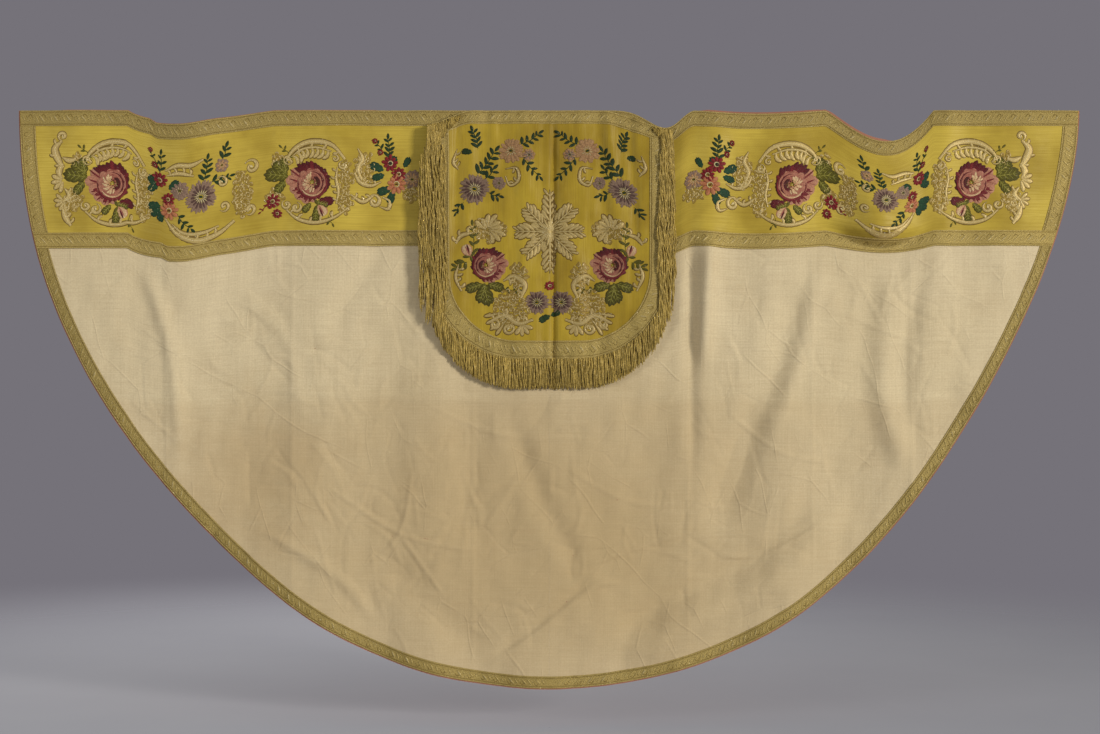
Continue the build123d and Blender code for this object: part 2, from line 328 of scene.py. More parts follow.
class Surface:
    """A hanging cloth surface, kept as a table, that gives each (x, z, lift) its place."""
    CELL = 2.5 * MM

    def __init__(self, depth, sag_of, low, high):
        margin = 8 * self.CELL
        self.start = np.array(low) - margin
        stop = np.array(high) + margin
        x, z = np.meshgrid(np.arange(self.start[0], stop[0], self.CELL),
                           np.arange(self.start[1], stop[1], self.CELL))
        base = np.stack([x, -depth(x, z), z - sag_of(x, z)], axis=-1)
        normal = np.cross(np.gradient(base, axis=1), np.gradient(base, axis=0))
        normal /= np.linalg.norm(normal, axis=-1, keepdims=True)
        self.table = np.concatenate([base, normal], axis=-1)

    def place(self, x, z, lift):
        """Blends the four nearest cells of the table and lifts along the normal."""
        spot = (np.stack([x, z], -1) - self.start) / self.CELL
        spot = np.clip(spot, 0, np.array(self.table.shape[1::-1]) - 1.001)
        cell = spot.astype(int)
        u, v = (spot - cell)[..., :1], (spot - cell)[..., 1:]
        column, row = cell[..., 0], cell[..., 1]
        t = self.table
        lower = t[row, column] * (1 - u) + t[row, column + 1] * u
        upper = t[row + 1, column] * (1 - u) + t[row + 1, column + 1] * u
        found = lower * (1 - v) + upper * v
        return found[..., :3] + found[..., 3:] * np.asarray(lift)[..., None]


CLOAK = Surface(cloak_depth, sag, (-HALF_WIDTH, -DROP), (HALF_WIDTH, 0.0))
HOOD = Surface(hood_depth, hood_sag, (-HOOD_SIDE - 0.04, -FRINGE_LOW), (HOOD_SIDE + 0.04, 0.0))


# ================================================================= mesh builders
class Pile:
    """Collects faces of one piece, with a cloth map and a thread colour per corner."""

    def __init__(self, surface):
        self.surface = surface
        self.places, self.maps, self.colours, self.faces = [], [], [], []
        self.count = 0

    def add(self, x, z, lift, faces, colour=(1, 1, 1)):
        """Adds places on the surface with their lifts, and faces that index them."""
        flat = np.stack(np.broadcast_arrays(x, z, lift), -1).reshape(-1, 3)
        self.add_points(flat, flat[:, :2], faces, colour)

    def add_points(self, places, cloth_map, faces, colour):
        """Adds places, which are points of the frame if the pile has no surface."""
        self.places.append(places)
        self.maps.append(cloth_map)
        self.colours.append(np.broadcast_to(np.asarray(colour, float), (len(places), 3)))
        self.faces.append(np.asarray(faces) + self.count)
        self.count += len(places)

    def build(self, name, material, smooth_angle=50):
        """Turns the pile into one mesh object."""
        points = np.concatenate(self.places)
        if self.surface:
            points = self.surface.place(*points.T)
        mesh = bpy.data.meshes.new(name)
        faces = [face for block in self.faces for face in block.tolist()]
        mesh.from_pydata(points.tolist(), [], faces)
        corners = np.empty(len(mesh.loops), np.int32)
        mesh.loops.foreach_get("vertex_index", corners)
        cloth_map = np.concatenate(self.maps)[corners].astype(np.float32)
        mesh.uv_layers.new(name="cloth").data.foreach_set("uv", cloth_map.ravel())
        colour = np.ones((len(points), 4), np.float32)
        colour[:, :3] = np.concatenate(self.colours)
        mesh.color_attributes.new("thread", "FLOAT_COLOR", "POINT").data.foreach_set(
            "color", colour.ravel())
        face_outwards(mesh)
        mesh.polygons.foreach_set("use_smooth", np.ones(len(mesh.polygons), bool))
        mesh.set_sharp_from_angle(angle=math.radians(smooth_angle))
        mesh.materials.append(material)
        mesh.update()
        piece = bpy.data.objects.new(name, mesh)
        bpy.context.scene.collection.objects.link(piece)
        return piece


def face_outwards(mesh):
    """Turns every face of a closed mesh to look outwards."""
    work = bmesh.new()
    work.from_mesh(mesh)
    bmesh.ops.recalc_face_normals(work, faces=work.faces)
    work.to_mesh(mesh)
    work.free()


def grid_faces(rows, columns, start=0):
    """Quads of a rows by columns grid of vertices."""
    index = np.arange(rows * columns).reshape(rows, columns) + start
    quads = np.stack([index[:-1, :-1], index[:-1, 1:], index[1:, 1:], index[1:, :-1]], -1)
    return quads.reshape(-1, 4)


def sheet(pile, x, z, layer, colour=(1, 1, 1)):
    """Adds a thin closed sheet over the grid of places x, z: front, rear and rim."""
    rows, columns = x.shape
    size = rows * columns
    index = np.arange(size).reshape(rows, columns)
    rim = np.concatenate([index[0, :], index[1:, -1], index[-1, -2::-1], index[-2:0:-1, 0]])
    ahead = np.roll(rim, -1)
    around = np.stack([rim, rim + size, ahead + size, ahead], -1)
    faces = np.concatenate([grid_faces(rows, columns), grid_faces(rows, columns, size), around])
    lifts = np.stack(np.broadcast_arrays(x, layer[1], layer[0])[1:])
    pile.add(np.stack([x, x]), np.stack([z, z]), lifts, faces, colour)


def finish_piece(pile, name, material, slot, body, *nodes):
    """Builds a piece that rides on a body and stands in for some of the frame's nodes."""
    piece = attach(pile.build(name, material), body)
    if nodes:
        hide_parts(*nodes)


def finish_turning_piece(pile, name, material, slot, side, *nodes):
    """Builds a piece of the back, fixed in place, and hides the frame's nodes that it stands in for."""
    piece = pile.build(name, material)
    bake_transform(piece)
    if nodes:
        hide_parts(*nodes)


# ============================================================ outline of the cloak
def drawn_in(down, side):
    """How far the hanging side edge is drawn in at a depth."""
    reach, low = PULL[side]
    return reach * np.sin(math.pi * np.clip(down / DROP, 0, 1) ** low) ** 1.3


def quarter(side, outset, cells_x, cells_z):
    """A grid of places over one half of the cloak, out to the hem plus outset."""
    a, b = np.meshgrid(np.linspace(0, 1, cells_x + 1), np.linspace(0, 1, cells_z + 1))
    across, down = a * np.sqrt(1 - b * b / 2), b * np.sqrt(1 - a * a / 2)
    rim = np.sqrt(np.maximum(1 - down * down, 1e-9))
    shrink = 1 - drawn_in(down * DROP, side) / (HALF_WIDTH * rim + 1e-6)
    x = side * (HALF_WIDTH + outset) * across * np.maximum(shrink, 0)
    z = -(DROP + outset) * down
    return x, z


def hem_place(turn, inset, side):
    """A place near the hem: turn 0 is the neck edge, turn pi/2 the lowest point."""
    def on_hem(t):
        down = DROP * np.sin(t)
        return HALF_WIDTH * np.cos(t) - drawn_in(down, side), -down
    nudge = 1e-4
    x, z = on_hem(turn)
    x0, z0 = on_hem(turn - nudge)
    x1, z1 = on_hem(turn + nudge)
    dx, dz = x1 - x0, z1 - z0
    length = np.hypot(dx, dz)
    return side * (x + inset * dz / length), z - inset * dx / length


def hem_x(down, side):
    """Distance of the hem from centre back at a depth."""
    return HALF_WIDTH * np.sqrt(1 - np.square(down / DROP)) - drawn_in(down, side)


def band_grid(side, top, bottom, inset, cells_x, cells_z):
    """A grid over the band from centre back to its end, between two depths."""
    u, down = np.meshgrid(np.linspace(0, 1, cells_x + 1), np.linspace(top, bottom, cells_z + 1))
    return side * u * (hem_x(down, side) - inset), -down


# ======================================================================= colours
def paint(red, green, blue):
    """A colour from its screen values, 0 to 255, in the linear values that shaders use."""
    return tuple(((v / 255 + 0.055) / 1.055) ** 2.4 for v in (red, green, blue))


GOLD = paint(190, 166, 94)
FRINGE_GOLD = paint(192, 164, 84)
# Thread colours of a stitch: at its root, at its tip and along its edges.
OUTER_PETAL = paint(172, 94, 76), paint(204, 150, 118), paint(188, 126, 98)
CROWN = paint(114, 32, 38), paint(82, 20, 26), paint(60, 12, 16)
RIM = paint(140, 48, 50), paint(114, 30, 36), paint(74, 18, 24)
CUP = paint(160, 82, 68), paint(194, 136, 108), paint(122, 44, 44)
CREAM = paint(204, 140, 100), paint(234, 210, 158), paint(190, 116, 84)
HEART = paint(70, 28, 24), paint(100, 30, 34), paint(62, 26, 22)
SEED = paint(206, 198, 130), paint(186, 182, 104), paint(80, 78, 30)
LEAF = paint(108, 102, 22), paint(78, 72, 14), paint(46, 38, 8)
VEIN = paint(182, 174, 84), paint(146, 142, 56), paint(142, 132, 56)
SPRIG = paint(38, 66, 28), paint(26, 50, 22), paint(14, 30, 12)
OLIVE_SPRIG = paint(112, 106, 26), paint(84, 78, 18), paint(54, 46, 10)
TEAL = paint(34, 78, 48), paint(24, 56, 36), paint(14, 34, 20)
DAISY = paint(80, 54, 46), paint(104, 76, 66), paint(84, 60, 48)
LILAC = paint(120, 91, 80), paint(164, 135, 110), paint(128, 100, 82)
SOFT_PINK = paint(180, 132, 86), paint(194, 152, 104), paint(160, 114, 74)
PEACH = paint(178, 98, 66), paint(206, 140, 94), paint(158, 86, 58)
RED = paint(110, 20, 28), paint(152, 36, 40), paint(90, 16, 22)
STITCH = paint(222, 206, 156), paint(206, 188, 130), paint(176, 156, 92)
SCROLL = paint(194, 169, 102), paint(210, 186, 122), paint(98, 76, 26)
# GLINT is a painted highlight, not a thread colour: the glint that metal thread catches, laid on as pale
# thread.
GLINT = paint(238, 220, 168), paint(218, 198, 138), paint(168, 141, 74)
NET = paint(150, 124, 48), paint(156, 130, 56), paint(112, 88, 24)
NET_EDGE = paint(112, 88, 26), paint(112, 88, 26), paint(100, 78, 20)
GOLD_LIGHT = paint(212, 188, 118), paint(202, 178, 106), paint(166, 142, 76)
GOLD_DARK = paint(146, 122, 58), paint(154, 130, 66), paint(126, 102, 46)

# ============================================================ raised silk stitches
ACROSS = np.array([-1.0, -0.60, 0.0, 0.60, 1.0])
DOME = np.sqrt(1 - ACROSS ** 2)
EDGE = np.array([1.0, 0.0, 0.0, 0.0, 1.0])[None, :, None]


def stroke(pile, spine, half_width, crown, tones, ground=SILK[1]):
    """A raised stroke of thread along the spine, its half width given along its length."""
    spine = np.asarray(spine, float)
    count, wide = len(spine), len(ACROSS)
    tangent = np.gradient(spine, axis=0)
    tangent /= np.linalg.norm(tangent, axis=1, keepdims=True) + 1e-12
    side = np.stack([-tangent[:, 1], tangent[:, 0]], 1)
    half = np.broadcast_to(np.asarray(half_width, float), (count,))
    places = spine[:, None] + side[:, None] * (half[:, None] * ACROSS)[..., None]
    lift = ground + crown * DOME[None] * np.minimum(1, half / (half.max() * 0.6))[:, None]
    lift = lift - 0.15 * MM * (DOME[None] == 0)
    along = np.linspace(0, 1, count)[:, None, None]
    root, tip, edge = (np.array(tone) for tone in tones)
    shades = ((1 - along) * root + along * tip) * (1 - EDGE) + edge * EDGE
    top = grid_faces(count, wide)
    left = np.arange(count - 1) * wide
    under = np.stack([left, left + wide, left + 2 * wide - 1, left + wide - 1], 1)
    first = pile.count
    pile.add(places[..., 0], places[..., 1], lift, np.concatenate([top, under]),
             shades.reshape(-1, 3))
    pile.faces.append(np.array([range(first + wide - 1, first - 1, -1)]))
    pile.faces.append(np.array([range(pile.count - wide, pile.count)]))


def bearing_of(degrees):
    """The unit step in a direction."""
    return np.array((math.cos(math.radians(degrees)), math.sin(math.radians(degrees))))


class Motif:
    """Draws shapes in a small frame of its own, in millimetres: u away from centre back
    (or towards it when turned), v up, at a centre (x, z) on one side of the cope.
    Angles are in degrees from +u towards +v."""

    def __init__(self, pile, centre, side, scale=0.94, turned=False, squeeze=1.0, tint=1.0):
        self.pile, self.scale, self.tint = pile, scale, tint
        self.ground = SILK[1]
        self.centre = np.array(centre, float)
        self.hand = np.array([side * (-1 if turned else 1) * squeeze, 1]) * scale * MM
        self.dice = np.random.default_rng(int(1e4 * abs(centre[0])) + 5)

    def stroke(self, points, width, crown, tones, level=0.0, count=8, ends=(0.15, 0.15), blunt=False):
        """A stroke through the points, width at its widest; ends are the widths at each end.
        A blunt stroke widens towards a round tip."""
        samples = 24
        s = np.linspace(0, 1, count)
        if blunt:
            s = 0.5 - 0.5 * np.cos(math.pi * s)
        path = smooth_path(points, samples)
        path = np.stack([np.interp(s, np.linspace(0, 1, samples), path[:, k]) for k in (0, 1)], 1)
        if blunt:
            swell = ends[0] + (1 - ends[0]) * ramp(0.0, 0.65, s)
            half = swell * np.sqrt(np.maximum(1 - np.square(np.clip((s - 0.66) / 0.34, 0, 1)), 0.02))
        else:
            half = np.maximum(np.sin(math.pi * s) ** 0.6, ends[0] * (1 - s) + ends[1] * s)
        # tint darkens every thread colour; on the hood this is painted shade
        tones = [self.tint * np.array(tone) for tone in tones]
        stroke(self.pile, self.centre + path * self.hand, 0.5 * width * self.scale * MM * half,
               crown * MM, tones, self.ground + level * MM)

    def ray(self, angle, inner, outer, width, crown, tones, level=0.0, at=(0, 0), curl=0.0,
            ends=(0.3, 0.2), blunt=False):
        """A stitch from one radius to another, curling by some degrees as it goes."""
        points = [at + (inner + (outer - inner) * k / 3) * bearing_of(angle + curl * k / 3)
                  for k in range(4)]
        self.stroke(points, width, crown, tones, level, ends=ends, blunt=blunt)

    def petal(self, angle, inner, outer, width, tones, level=0.0, at=(0, 0), curl=0.0, crown=1.2):
        """A ray that widens towards a round tip."""
        self.ray(angle, inner, outer, width, crown, tones, level, at, curl, (0.45, 0), True)

    def arc(self, start, end, radius, width, tones, level=0.0, at=(0, 0), end_radius=None, crown=1.1):
        """Part of a circle, or of a spiral when the radius changes, between two bearings."""
        end_radius = radius if end_radius is None else end_radius
        steps = max(4, int(abs(end - start) / 25) + 2)
        t = np.linspace(0, 1, steps)
        points = [at + (radius + (end_radius - radius) * k) * bearing_of(start + (end - start) * k)
                  for k in t]
        self.stroke(points, width, crown, tones, level, count=max(8, steps * 2))

    # ------------------------------------------------------------------ flowers
    def rose(self):
        """A full rose whose soft outer petals lie towards +u and whose crown is dark."""
        for k, (angle, reach, width) in enumerate(((38, 62, 30), (12, 68, 30), (-14, 60, 34),
                                                   (-40, 58, 32), (-66, 57, 28), (-90, 52, 22))):
            self.petal(angle, 18, reach, width, OUTER_PETAL, 0.1 + 0.12 * (k % 2), curl=-8)
            self.ray(angle - 8, 30, reach - 4, 3.0, 0.7, CUP, 1.2, curl=-8)
        for angle, reach in ((26, 66), (4, 58), (-28, 56), (-54, 56), (-78, 54)):
            self.ray(angle, 30, reach, 5.0, 0.9, RIM, 1.3, curl=6)
        for k, angle in enumerate(range(52, 226, 12)):
            reach = 60 - 0.09 * (angle - 52) + self.dice.uniform(-5, 4)
            self.ray(angle, 24, reach, 17, 1.2, (CROWN, RIM)[k % 5 == 4], 0.6 + 0.2 * (k % 3),
                     curl=-12, ends=(0.8, 0.15))
            self.ray(angle + 5, 26, reach - 7, 2.0, 0.6, RIM, 1.9, curl=-10)
        for k, angle in enumerate(range(232, 330, 16)):
            self.ray(angle, 26, 49 + self.dice.uniform(-3, 3), 13, 1.1, RIM, 0.8 + 0.2 * (k % 2),
                     curl=14, ends=(0.8, 0.15))
        for k, angle in enumerate(range(0, 360, 36)):
            self.petal(angle, 8, 37 + 2 * (k % 2), 26, CUP, 1.5 + 0.15 * (k % 2), curl=14)
        for start, end, radius, width, tones in (
                (150, 372, 39, 7, RIM), (60, 200, 36, 5, CUP), (84, 236, 30, 5, CROWN),
                (196, 330, 33, 5, CREAM), (70, 230, 24, 5, CUP), (250, 400, 27, 4, CUP),
                (100, 250, 19, 6, RIM)):
            self.arc(start, end, radius, width, tones, 2.3, (-2, -2), radius * 0.94)
        for k, angle in enumerate(range(-120, 70, 17)):
            reach = 30 - self.dice.uniform(0, 11)
            self.ray(angle, 4, reach, 9, 0.9, CREAM, 2.3 + 0.15 * (k % 2), curl=22, ends=(0.5, 0.2))
        for angle in range(-108, 60, 34):
            self.ray(angle, 12, 27, 2.2, 0.7, CUP, 3.3, curl=18)
        self.arc(90, 275, 13, 13, HEART, 2.7, (-7, 0))
        for k in range(18):
            spot = 2.8 * math.sqrt(k) * bearing_of(137.5 * k) - (4, 0)
            self.ray(137.5 * k, 0, 4.0, 2.6, 0.7, (SEED, LEAF, HEART, LEAF)[k % 4], 3.5, at=spot)

    def leaf(self, at, angle, length, tones=LEAF, veins=True):
        """A toothed leaf with light veins."""
        width = length * 0.60
        self.ray(angle, 0, length, width * 0.72, 1.0, tones, 0.35, at, ends=(0.3, 0.1))
        for k, share in enumerate((0.56, 0.74, 0.70, 0.50)):
            root = at + bearing_of(angle) * length * (0.10 + 0.19 * k)
            for hand in (-1, 1):
                self.ray(angle + hand * 56, 0, width * share, width * 0.36, 1.0, tones,
                         0.3 + 0.1 * (k % 2), root, -hand * 22, (0.7, 0.1))
                if veins:
                    self.ray(angle + hand * 46, 0, width * share * 0.66, 1.5, 0.5, VEIN, 1.5, root)
        if veins:
            self.ray(angle, 1, length * 0.9, 2.0, 0.6, VEIN, 1.4, at)

    def leaves(self, *plans, tones=LEAF, veins=True):
        """Leaves, each given as (u, v, angle, length)."""
        for u, v, angle, length in plans:
            self.leaf((u, v), angle, length, tones, veins)

    def bud(self, at, angle, size=20):
        """A bud of three petals in a green cup."""
        for turn in (-34, 32, 0):
            self.petal(angle + turn, 0, size, size * 0.62, CREAM if turn else CUP, 0.6, at, -turn)
        self.ray(angle + 10, size * 0.3, size, size * 0.16, 0.9, CROWN, 1.8, at)
        for turn in (-70, 70, 180):
            self.ray(angle + turn, 0, size * 0.6, size * 0.26, 0.9, OLIVE_SPRIG, 0.9, at)

    def daisy(self, radius, petals=16, at=(0, 0), outer=LILAC, inner=DAISY):
        """A tousled double daisy."""
        step = 360 / petals
        width = radius / petals
        for k in range(2 * petals):
            angle = step * k / 2 + self.dice.normal(0, step * 0.12)
            reach = radius * self.dice.uniform(0.84, 1.05)
            self.petal(angle, radius * 0.2, reach, 3.38 * width, outer, 0.1 + 0.15 * (k % 3), at)
        for k in range(petals):
            reach = radius * self.dice.uniform(0.58, 0.80)
            self.petal(step * k, radius * 0.15, reach, 3 * width, inner, 0.7 + 0.15 * (k % 2), at)
        for k in range(petals):
            self.ray(step * (k + 0.5), radius * 0.14, radius * self.dice.uniform(0.34, 0.5),
                     radius * 0.07, 0.7, STITCH, 1.5, at)
        self.ray(30, -radius * 0.09, radius * 0.11, radius * 0.16, 0.8, SPRIG, 1.9, at)

    def blossom(self, at, radius, tones=RED):
        """A small open flower of one ring of petals."""
        petals = 9
        for k in range(petals):
            reach = radius * self.dice.uniform(0.85, 1.1)
            self.petal(360 / petals * k + 12, radius * 0.2, reach, radius * 0.46, tones,
                       1.0 + 0.1 * (k % 2), at)
        self.arc(0, 330, radius * 0.27, radius * 0.13, STITCH, 1.9, at, crown=0.6)
        self.ray(0, -radius * 0.1, radius * 0.1, radius * 0.2, 0.7, HEART, 2.0, at)

    def spray(self, start, end, pairs=4, size=14, tones=SPRIG, bend=4):
        """A stem with pointed leaflets in loose pairs and one at the tip."""
        start, end = np.array(start, float), np.array(end, float)
        way = end - start
        normal = np.array([-way[1], way[0]]) / np.linalg.norm(way)
        self.stroke([start, (start + end) / 2 + normal * bend, end], 2.0, 0.8, tones, 0.2)
        angle = math.degrees(math.atan2(way[1], way[0]))
        for k in range(pairs):
            t = (k + 0.5) / pairs
            for hand in (-1, 1):
                root = start + way * (t + 0.12 * hand / pairs) + normal * bend * 4 * t * (1 - t)
                lean = angle + hand * self.dice.uniform(32, 52)
                long = size * (1.15 - 0.35 * t) * self.dice.uniform(0.85, 1.15)
                self.ray(lean, 0, long, long * 0.44, 1.0, tones, 0.4 + 0.1 * (k % 2), root, hand * 8,
                         (0.2, 0.1))
        self.ray(angle, 0, size * 0.9, size * 0.42, 1.0, tones, 0.4, end)

    # ------------------------------------------------------------------ scrolls
    def gilt(self, points, width, level=0.3, **more):
        """A stroke of gilt thread with a dark outline and a light line down its middle, a painted
        highlight.
        """
        self.stroke(points, width + 4.0, 0.5, NET_EDGE, level - 0.25, **more)
        self.stroke(points, width, 1.2, SCROLL, level + 0.1, **more)
        self.stroke(points, max(1.4, width * 0.15), 0.5, GLINT, level + 1.1, count=10)

    def lobe(self, angle, length, width, at, curl=0.0, level=0.1, inner=0.0):
        """A rounded gilt lobe with a dark outline, which curls round at its tip."""
        self.petal(angle, inner, length + 2.0, width + 3.6, NET_EDGE, level - 0.2, at, curl, 0.6)
        self.petal(angle, inner, length, width, SCROLL, level, at, curl, 1.0)
        # painted highlight: a light ray along the lobe
        self.ray(angle, length * 0.15, length * 0.8, 1.4, 0.5, GLINT, level + 1.0, at, curl)

    def scroll(self, points, width, lobes=0, hand=1, lobe=16):
        """A puffed scroll with curled lobes along one side."""
        samples = 60
        path = smooth_path(points, samples)
        pitch = np.hypot(*np.diff(path, axis=0).T).sum() / max(lobes, 1)
        for k in range(lobes):
            i = int((k + 0.5) / lobes * (samples - 2))
            way = path[i + 1] - path[i]
            lean = math.degrees(math.atan2(way[1], way[0])) + hand * 40
            self.lobe(lean, lobe * self.dice.uniform(1.05, 1.35), min(pitch * 0.8, lobe * 0.6), path[i],
                      hand * 62, 0.14 * (k % 2))
        self.gilt(points, width * 1.25, 0.3, count=16, ends=(0.4, 0.5))

    def coil(self, at, radius, start=90, width=5, hand=1, turns=1.05):
        """A C-scroll that curls in on itself and ends in a round boss."""
        steps = int(turns * 8) + 3
        t = np.linspace(0, 1, steps)
        points = [at + radius * (1 - 0.66 * k) * bearing_of(start + hand * 360 * turns * k) for k in t]
        self.gilt(points, width * 1.2, 0.2, count=steps * 2, ends=(0.3, 0.6))
        # painted highlight: the round boss is laid in the glint colour
        self.petal(start, -radius * 0.24, radius * 0.24, radius * 0.42, GLINT, 0.4, at)

    def shell(self, at, angle, radius, lobes=5, spread=150):
        """A fan of lobes, like a scallop."""
        for k in range(lobes):
            lean = angle + spread * (k / (lobes - 1) - 0.5)
            self.lobe(lean, radius, radius * 0.42, at, 0.0, 0.15 * (k % 2), radius * 0.1)

    def tangle(self, middle, size, pitch=8.5):
        """A patch of small curled threads over a darker net, as in rocaille work."""
        middle, half = np.array(middle, float), np.array(size) / 2
        for v in np.arange(-half[1], half[1] + 1, pitch):
            for u in np.arange(-half[0], half[0] + 1, pitch):
                if (u / half[0]) ** 2 + (v / half[1]) ** 2 > 1.1:
                    continue
                spot = middle + (u, v) + self.dice.uniform(-0.4, 0.4, 2) * pitch
                start, reach = self.dice.uniform(0, 360), pitch * self.dice.uniform(0.45, 0.75)
                turn = self.dice.choice((-1, 1)) * self.dice.uniform(120, 240)
                self.petal(start, -pitch * 0.7, pitch * 0.8, pitch * 1.3, NET, self.dice.uniform(0, 0.2),
                           spot, crown=0.5)
                self.arc(start, start + turn, reach, pitch * 0.46, SCROLL, self.dice.uniform(0.3, 0.7),
                         spot, reach * 0.4, 0.8)
                # painted highlights: light glint arcs on most of the curls
                if self.dice.uniform() < 0.6:
                    self.arc(start, start + turn * 0.6, reach, 1.5, GLINT, 1.2, spot, reach * 0.7, 0.4)


# ====================================================== what is woven into the band
def rose_bunch(at, flowers, scrolls, side, berries):
    """A rose with leaves and a bud inside a frame of scrolls, round the rose's centre."""
    s = Motif(scrolls, at, side)
    s.scroll([(70, 44), (54, 78), (20, 102), (-22, 106), (-58, 94), (-86, 60)], 12, 5, 1, 13)
    s.scroll([(54, 66), (26, 86), (-14, 91), (-52, 80)], 6, 8, 1, 22)
    s.coil((62, 60), 14, 200, 6)
    s.coil((-82, 44), 12, 90, 6, -1)
    s.coil((-62, 62), 10, 30, 5)
    s.tangle((-86, 10), (36, 86))
    s.scroll([(-68, 40), (-64, 8), (-70, -24), (-64, -56)], 6, 5, 1, 11)
    s.tangle((-86, -50), (40, 54))
    s.scroll([(-98, -64), (-56, -92), (-10, -104), (36, -94), (66, -70)], 9, 6, 1, 14)
    s.coil((40, -64), 14, 100, 8)
    s.coil((66, -56), 13, 60, 7, -1)
    s.tangle((98, -38), (44, 44))
    s.tangle((86, 60), (30, 34))

    m = Motif(flowers, at, side)
    m.leaves((66, 26, 74, 42), (70, 4, -50, 42), (62, 16, 8, 64), (64, 22, 40, 50))
    m.spray((46, 58), (78, 90), 2, 13, OLIVE_SPRIG)
    m.leaves((2, -54, -48, 32), (-14, -66, -84, 38))
    m.leaves((-18, -50, 176, 42), tones=CROWN, veins=False)
    m.leaves((-14, -50, 196, 34))
    m.bud((-18, -58), -124, 32)
    m.spray((-44, -84), (-54, -106), 1, 12, OLIVE_SPRIG)
    m.rose()
    if berries:
        m.blossom((102, -48), 19)
        m.blossom((90, -80), 13)
        m.spray((106, -54), (132, -70), 2, 10, RED)


def end_column(at, pile, side):
    """The lobed column of scrolls between a rose bunch and the end of the band."""
    s = Motif(pile, at, side)
    s.coil((126, 120), 12, -90, 9)
    s.scroll([(128, 108), (146, 88), (138, 62), (124, 40)], 17, 3, 1, 14)
    s.scroll([(126, 66), (108, 58), (90, 62)], 12)
    s.scroll([(124, 50), (134, 34), (132, 16)], 14)
    s.shell((124, 8), -10, 32, 5, 130)
    s.scroll([(120, -12), (108, -30), (124, -46)], 11, 2, -1, 12)
    s.shell((122, -44), -30, 26, 5, 140)
    s.scroll([(126, -60), (118, -84), (104, -106)], 14, 3, -1, 13)
    s.tangle((104, -52), (36, 50))


def daisy_bunch(at, flowers, scrolls, side, squeeze):
    """A purple daisy with sprigs, red and peach blossoms, over a smiling scroll."""
    s = Motif(scrolls, at, side, squeeze=squeeze)
    s.scroll([(92, 72), (60, 86), (24, 84), (-6, 94)], 11)
    s.scroll([(88, 60), (54, 66), (18, 56)], 9, 4, -1, 12)
    s.scroll([(92, -48), (62, -86), (10, -110), (-42, -102), (-84, -74)], 13)
    s.scroll([(74, -62), (44, -86), (-4, -92), (-44, -82)], 9, 6, 1, 12)
    s.coil((-52, 30), 15, 30, 7)
    s.coil((-58, -34), 14, -40, 7, -1)
    s.tangle((-104, -6), (46, 118))
    s.coil((-128, 58), 19, 30, 9)
    s.coil((-124, -52), 15, -40, 8, -1)

    m = Motif(flowers, at, side, squeeze=squeeze)
    m.daisy(25, 8, (54, 22), LILAC, LILAC)
    m.daisy(19, 7, (-52, 72), LILAC, SOFT_PINK)
    m.daisy(42, 17)
    m.spray((-4, 36), (-16, 92), 4, 18)
    m.spray((-22, 34), (-72, 42), 3, 17)
    m.spray((-50, 84), (-62, 116), 2, 20)
    m.spray((60, -36), (26, -76), 3, 18)
    m.blossom((82, -28), 24, PEACH)
    for u, v, radius in ((84, 0, 17), (106, 46, 20), (120, 78, 9), (132, 114, 7)):
        m.blossom((u, v), radius)
    m.spray((108, 62), (104, 112), 3, 17)
    m.spray((114, 70), (130, 104), 2, 12)
    m.leaves((120, 20, 64, 34), (112, 26, -30, 32), (82, 26, 140, 34), (104, -22, -14, 38),
             (100, -34, -74, 32), (106, -30, -44, 34), tones=TEAL, veins=False)


def sprig_bunch(at, flowers, scrolls, side):
    """Red and peach blossoms with teal leaves, and the scrolls between them and the rose."""
    s = Motif(scrolls, at, side)
    s.tangle((84, 36), (44, 84))
    s.scroll([(40, 2), (66, -8), (94, 0), (108, 24)], 9, 3, 1, 12)
    s.scroll([(100, 88), (88, 62), (100, 36), (90, 6)], 9)
    s.coil((58, -48), 18, 40, 9)
    s.scroll([(44, -62), (22, -68), (18, -48), (36, -38)], 8)
    s.scroll([(118, -32), (88, -50), (60, -34)], 9, 3, -1, 11)
    s.tangle((-40, -28), (50, 40))

    m = Motif(flowers, at, side)
    m.spray((22, 62), (22, 112), 4, 18)
    m.spray((36, 78), (54, 102), 2, 14)
    m.daisy(26, 10, (-42, 8), LILAC, SOFT_PINK)
    m.blossom((0, -4), 26, PEACH)
    for u, v, radius in ((-6, 22, 19), (16, 50, 22), (42, 78, 9), (56, 108, 8)):
        m.blossom((u, v), radius)
    m.leaves((26, 44, 140, 36), (34, 32, 24, 40), (32, 20, -18, 34), (14, -14, -20, 40),
             (8, -22, -70, 36), (-20, 40, 120, 30), tones=TEAL, veins=False)


# Where the bunches sit along the band: the height of their centres, and x of each.
BUNCH_Z = -0.176
BUNCHES = {
    -1: {"outer_rose": -1.066, "daisy": -0.846, "inner_rose": -0.578, "sprig": -0.372,
         "under_hood": -0.166},
    1: {"outer_rose": 1.030, "daisy": 0.812, "inner_rose": 0.592, "sprig": 0.392,
        "under_hood": 0.172},
}


def band_weaving(side, materials):
    """The flowers and the scrolls of one half of the band."""
    flowers, scrolls = Pile(CLOAK), Pile(CLOAK)
    x = BUNCHES[side]
    rose_bunch((x["outer_rose"], BUNCH_Z), flowers, scrolls, side, False)
    end_column((x["outer_rose"], BUNCH_Z), scrolls, side)
    daisy_bunch((x["daisy"], BUNCH_Z - 0.006), flowers, scrolls, side, 1.0 if side < 0 else 0.86)
    rose_bunch((x["inner_rose"], BUNCH_Z), flowers, scrolls, side, True)
    sprig_bunch((x["sprig"], BUNCH_Z), flowers, scrolls, side)
    daisy_bunch((x["under_hood"], BUNCH_Z), flowers, scrolls, side, 1.0)
    for pile, kind, slot in ((flowers, "flowers", "yellow_silk"), (scrolls, "scrolls", "gold_galloon")):
        finish_turning_piece(pile, f"band_{kind}_{SIDES[side]}", materials[kind], slot, side)


# ====================================================== what is woven into the hood
HOOD_SHADE = 0.76                           # painted shade: darkens the hood's threads, as the hood catches less light than the band
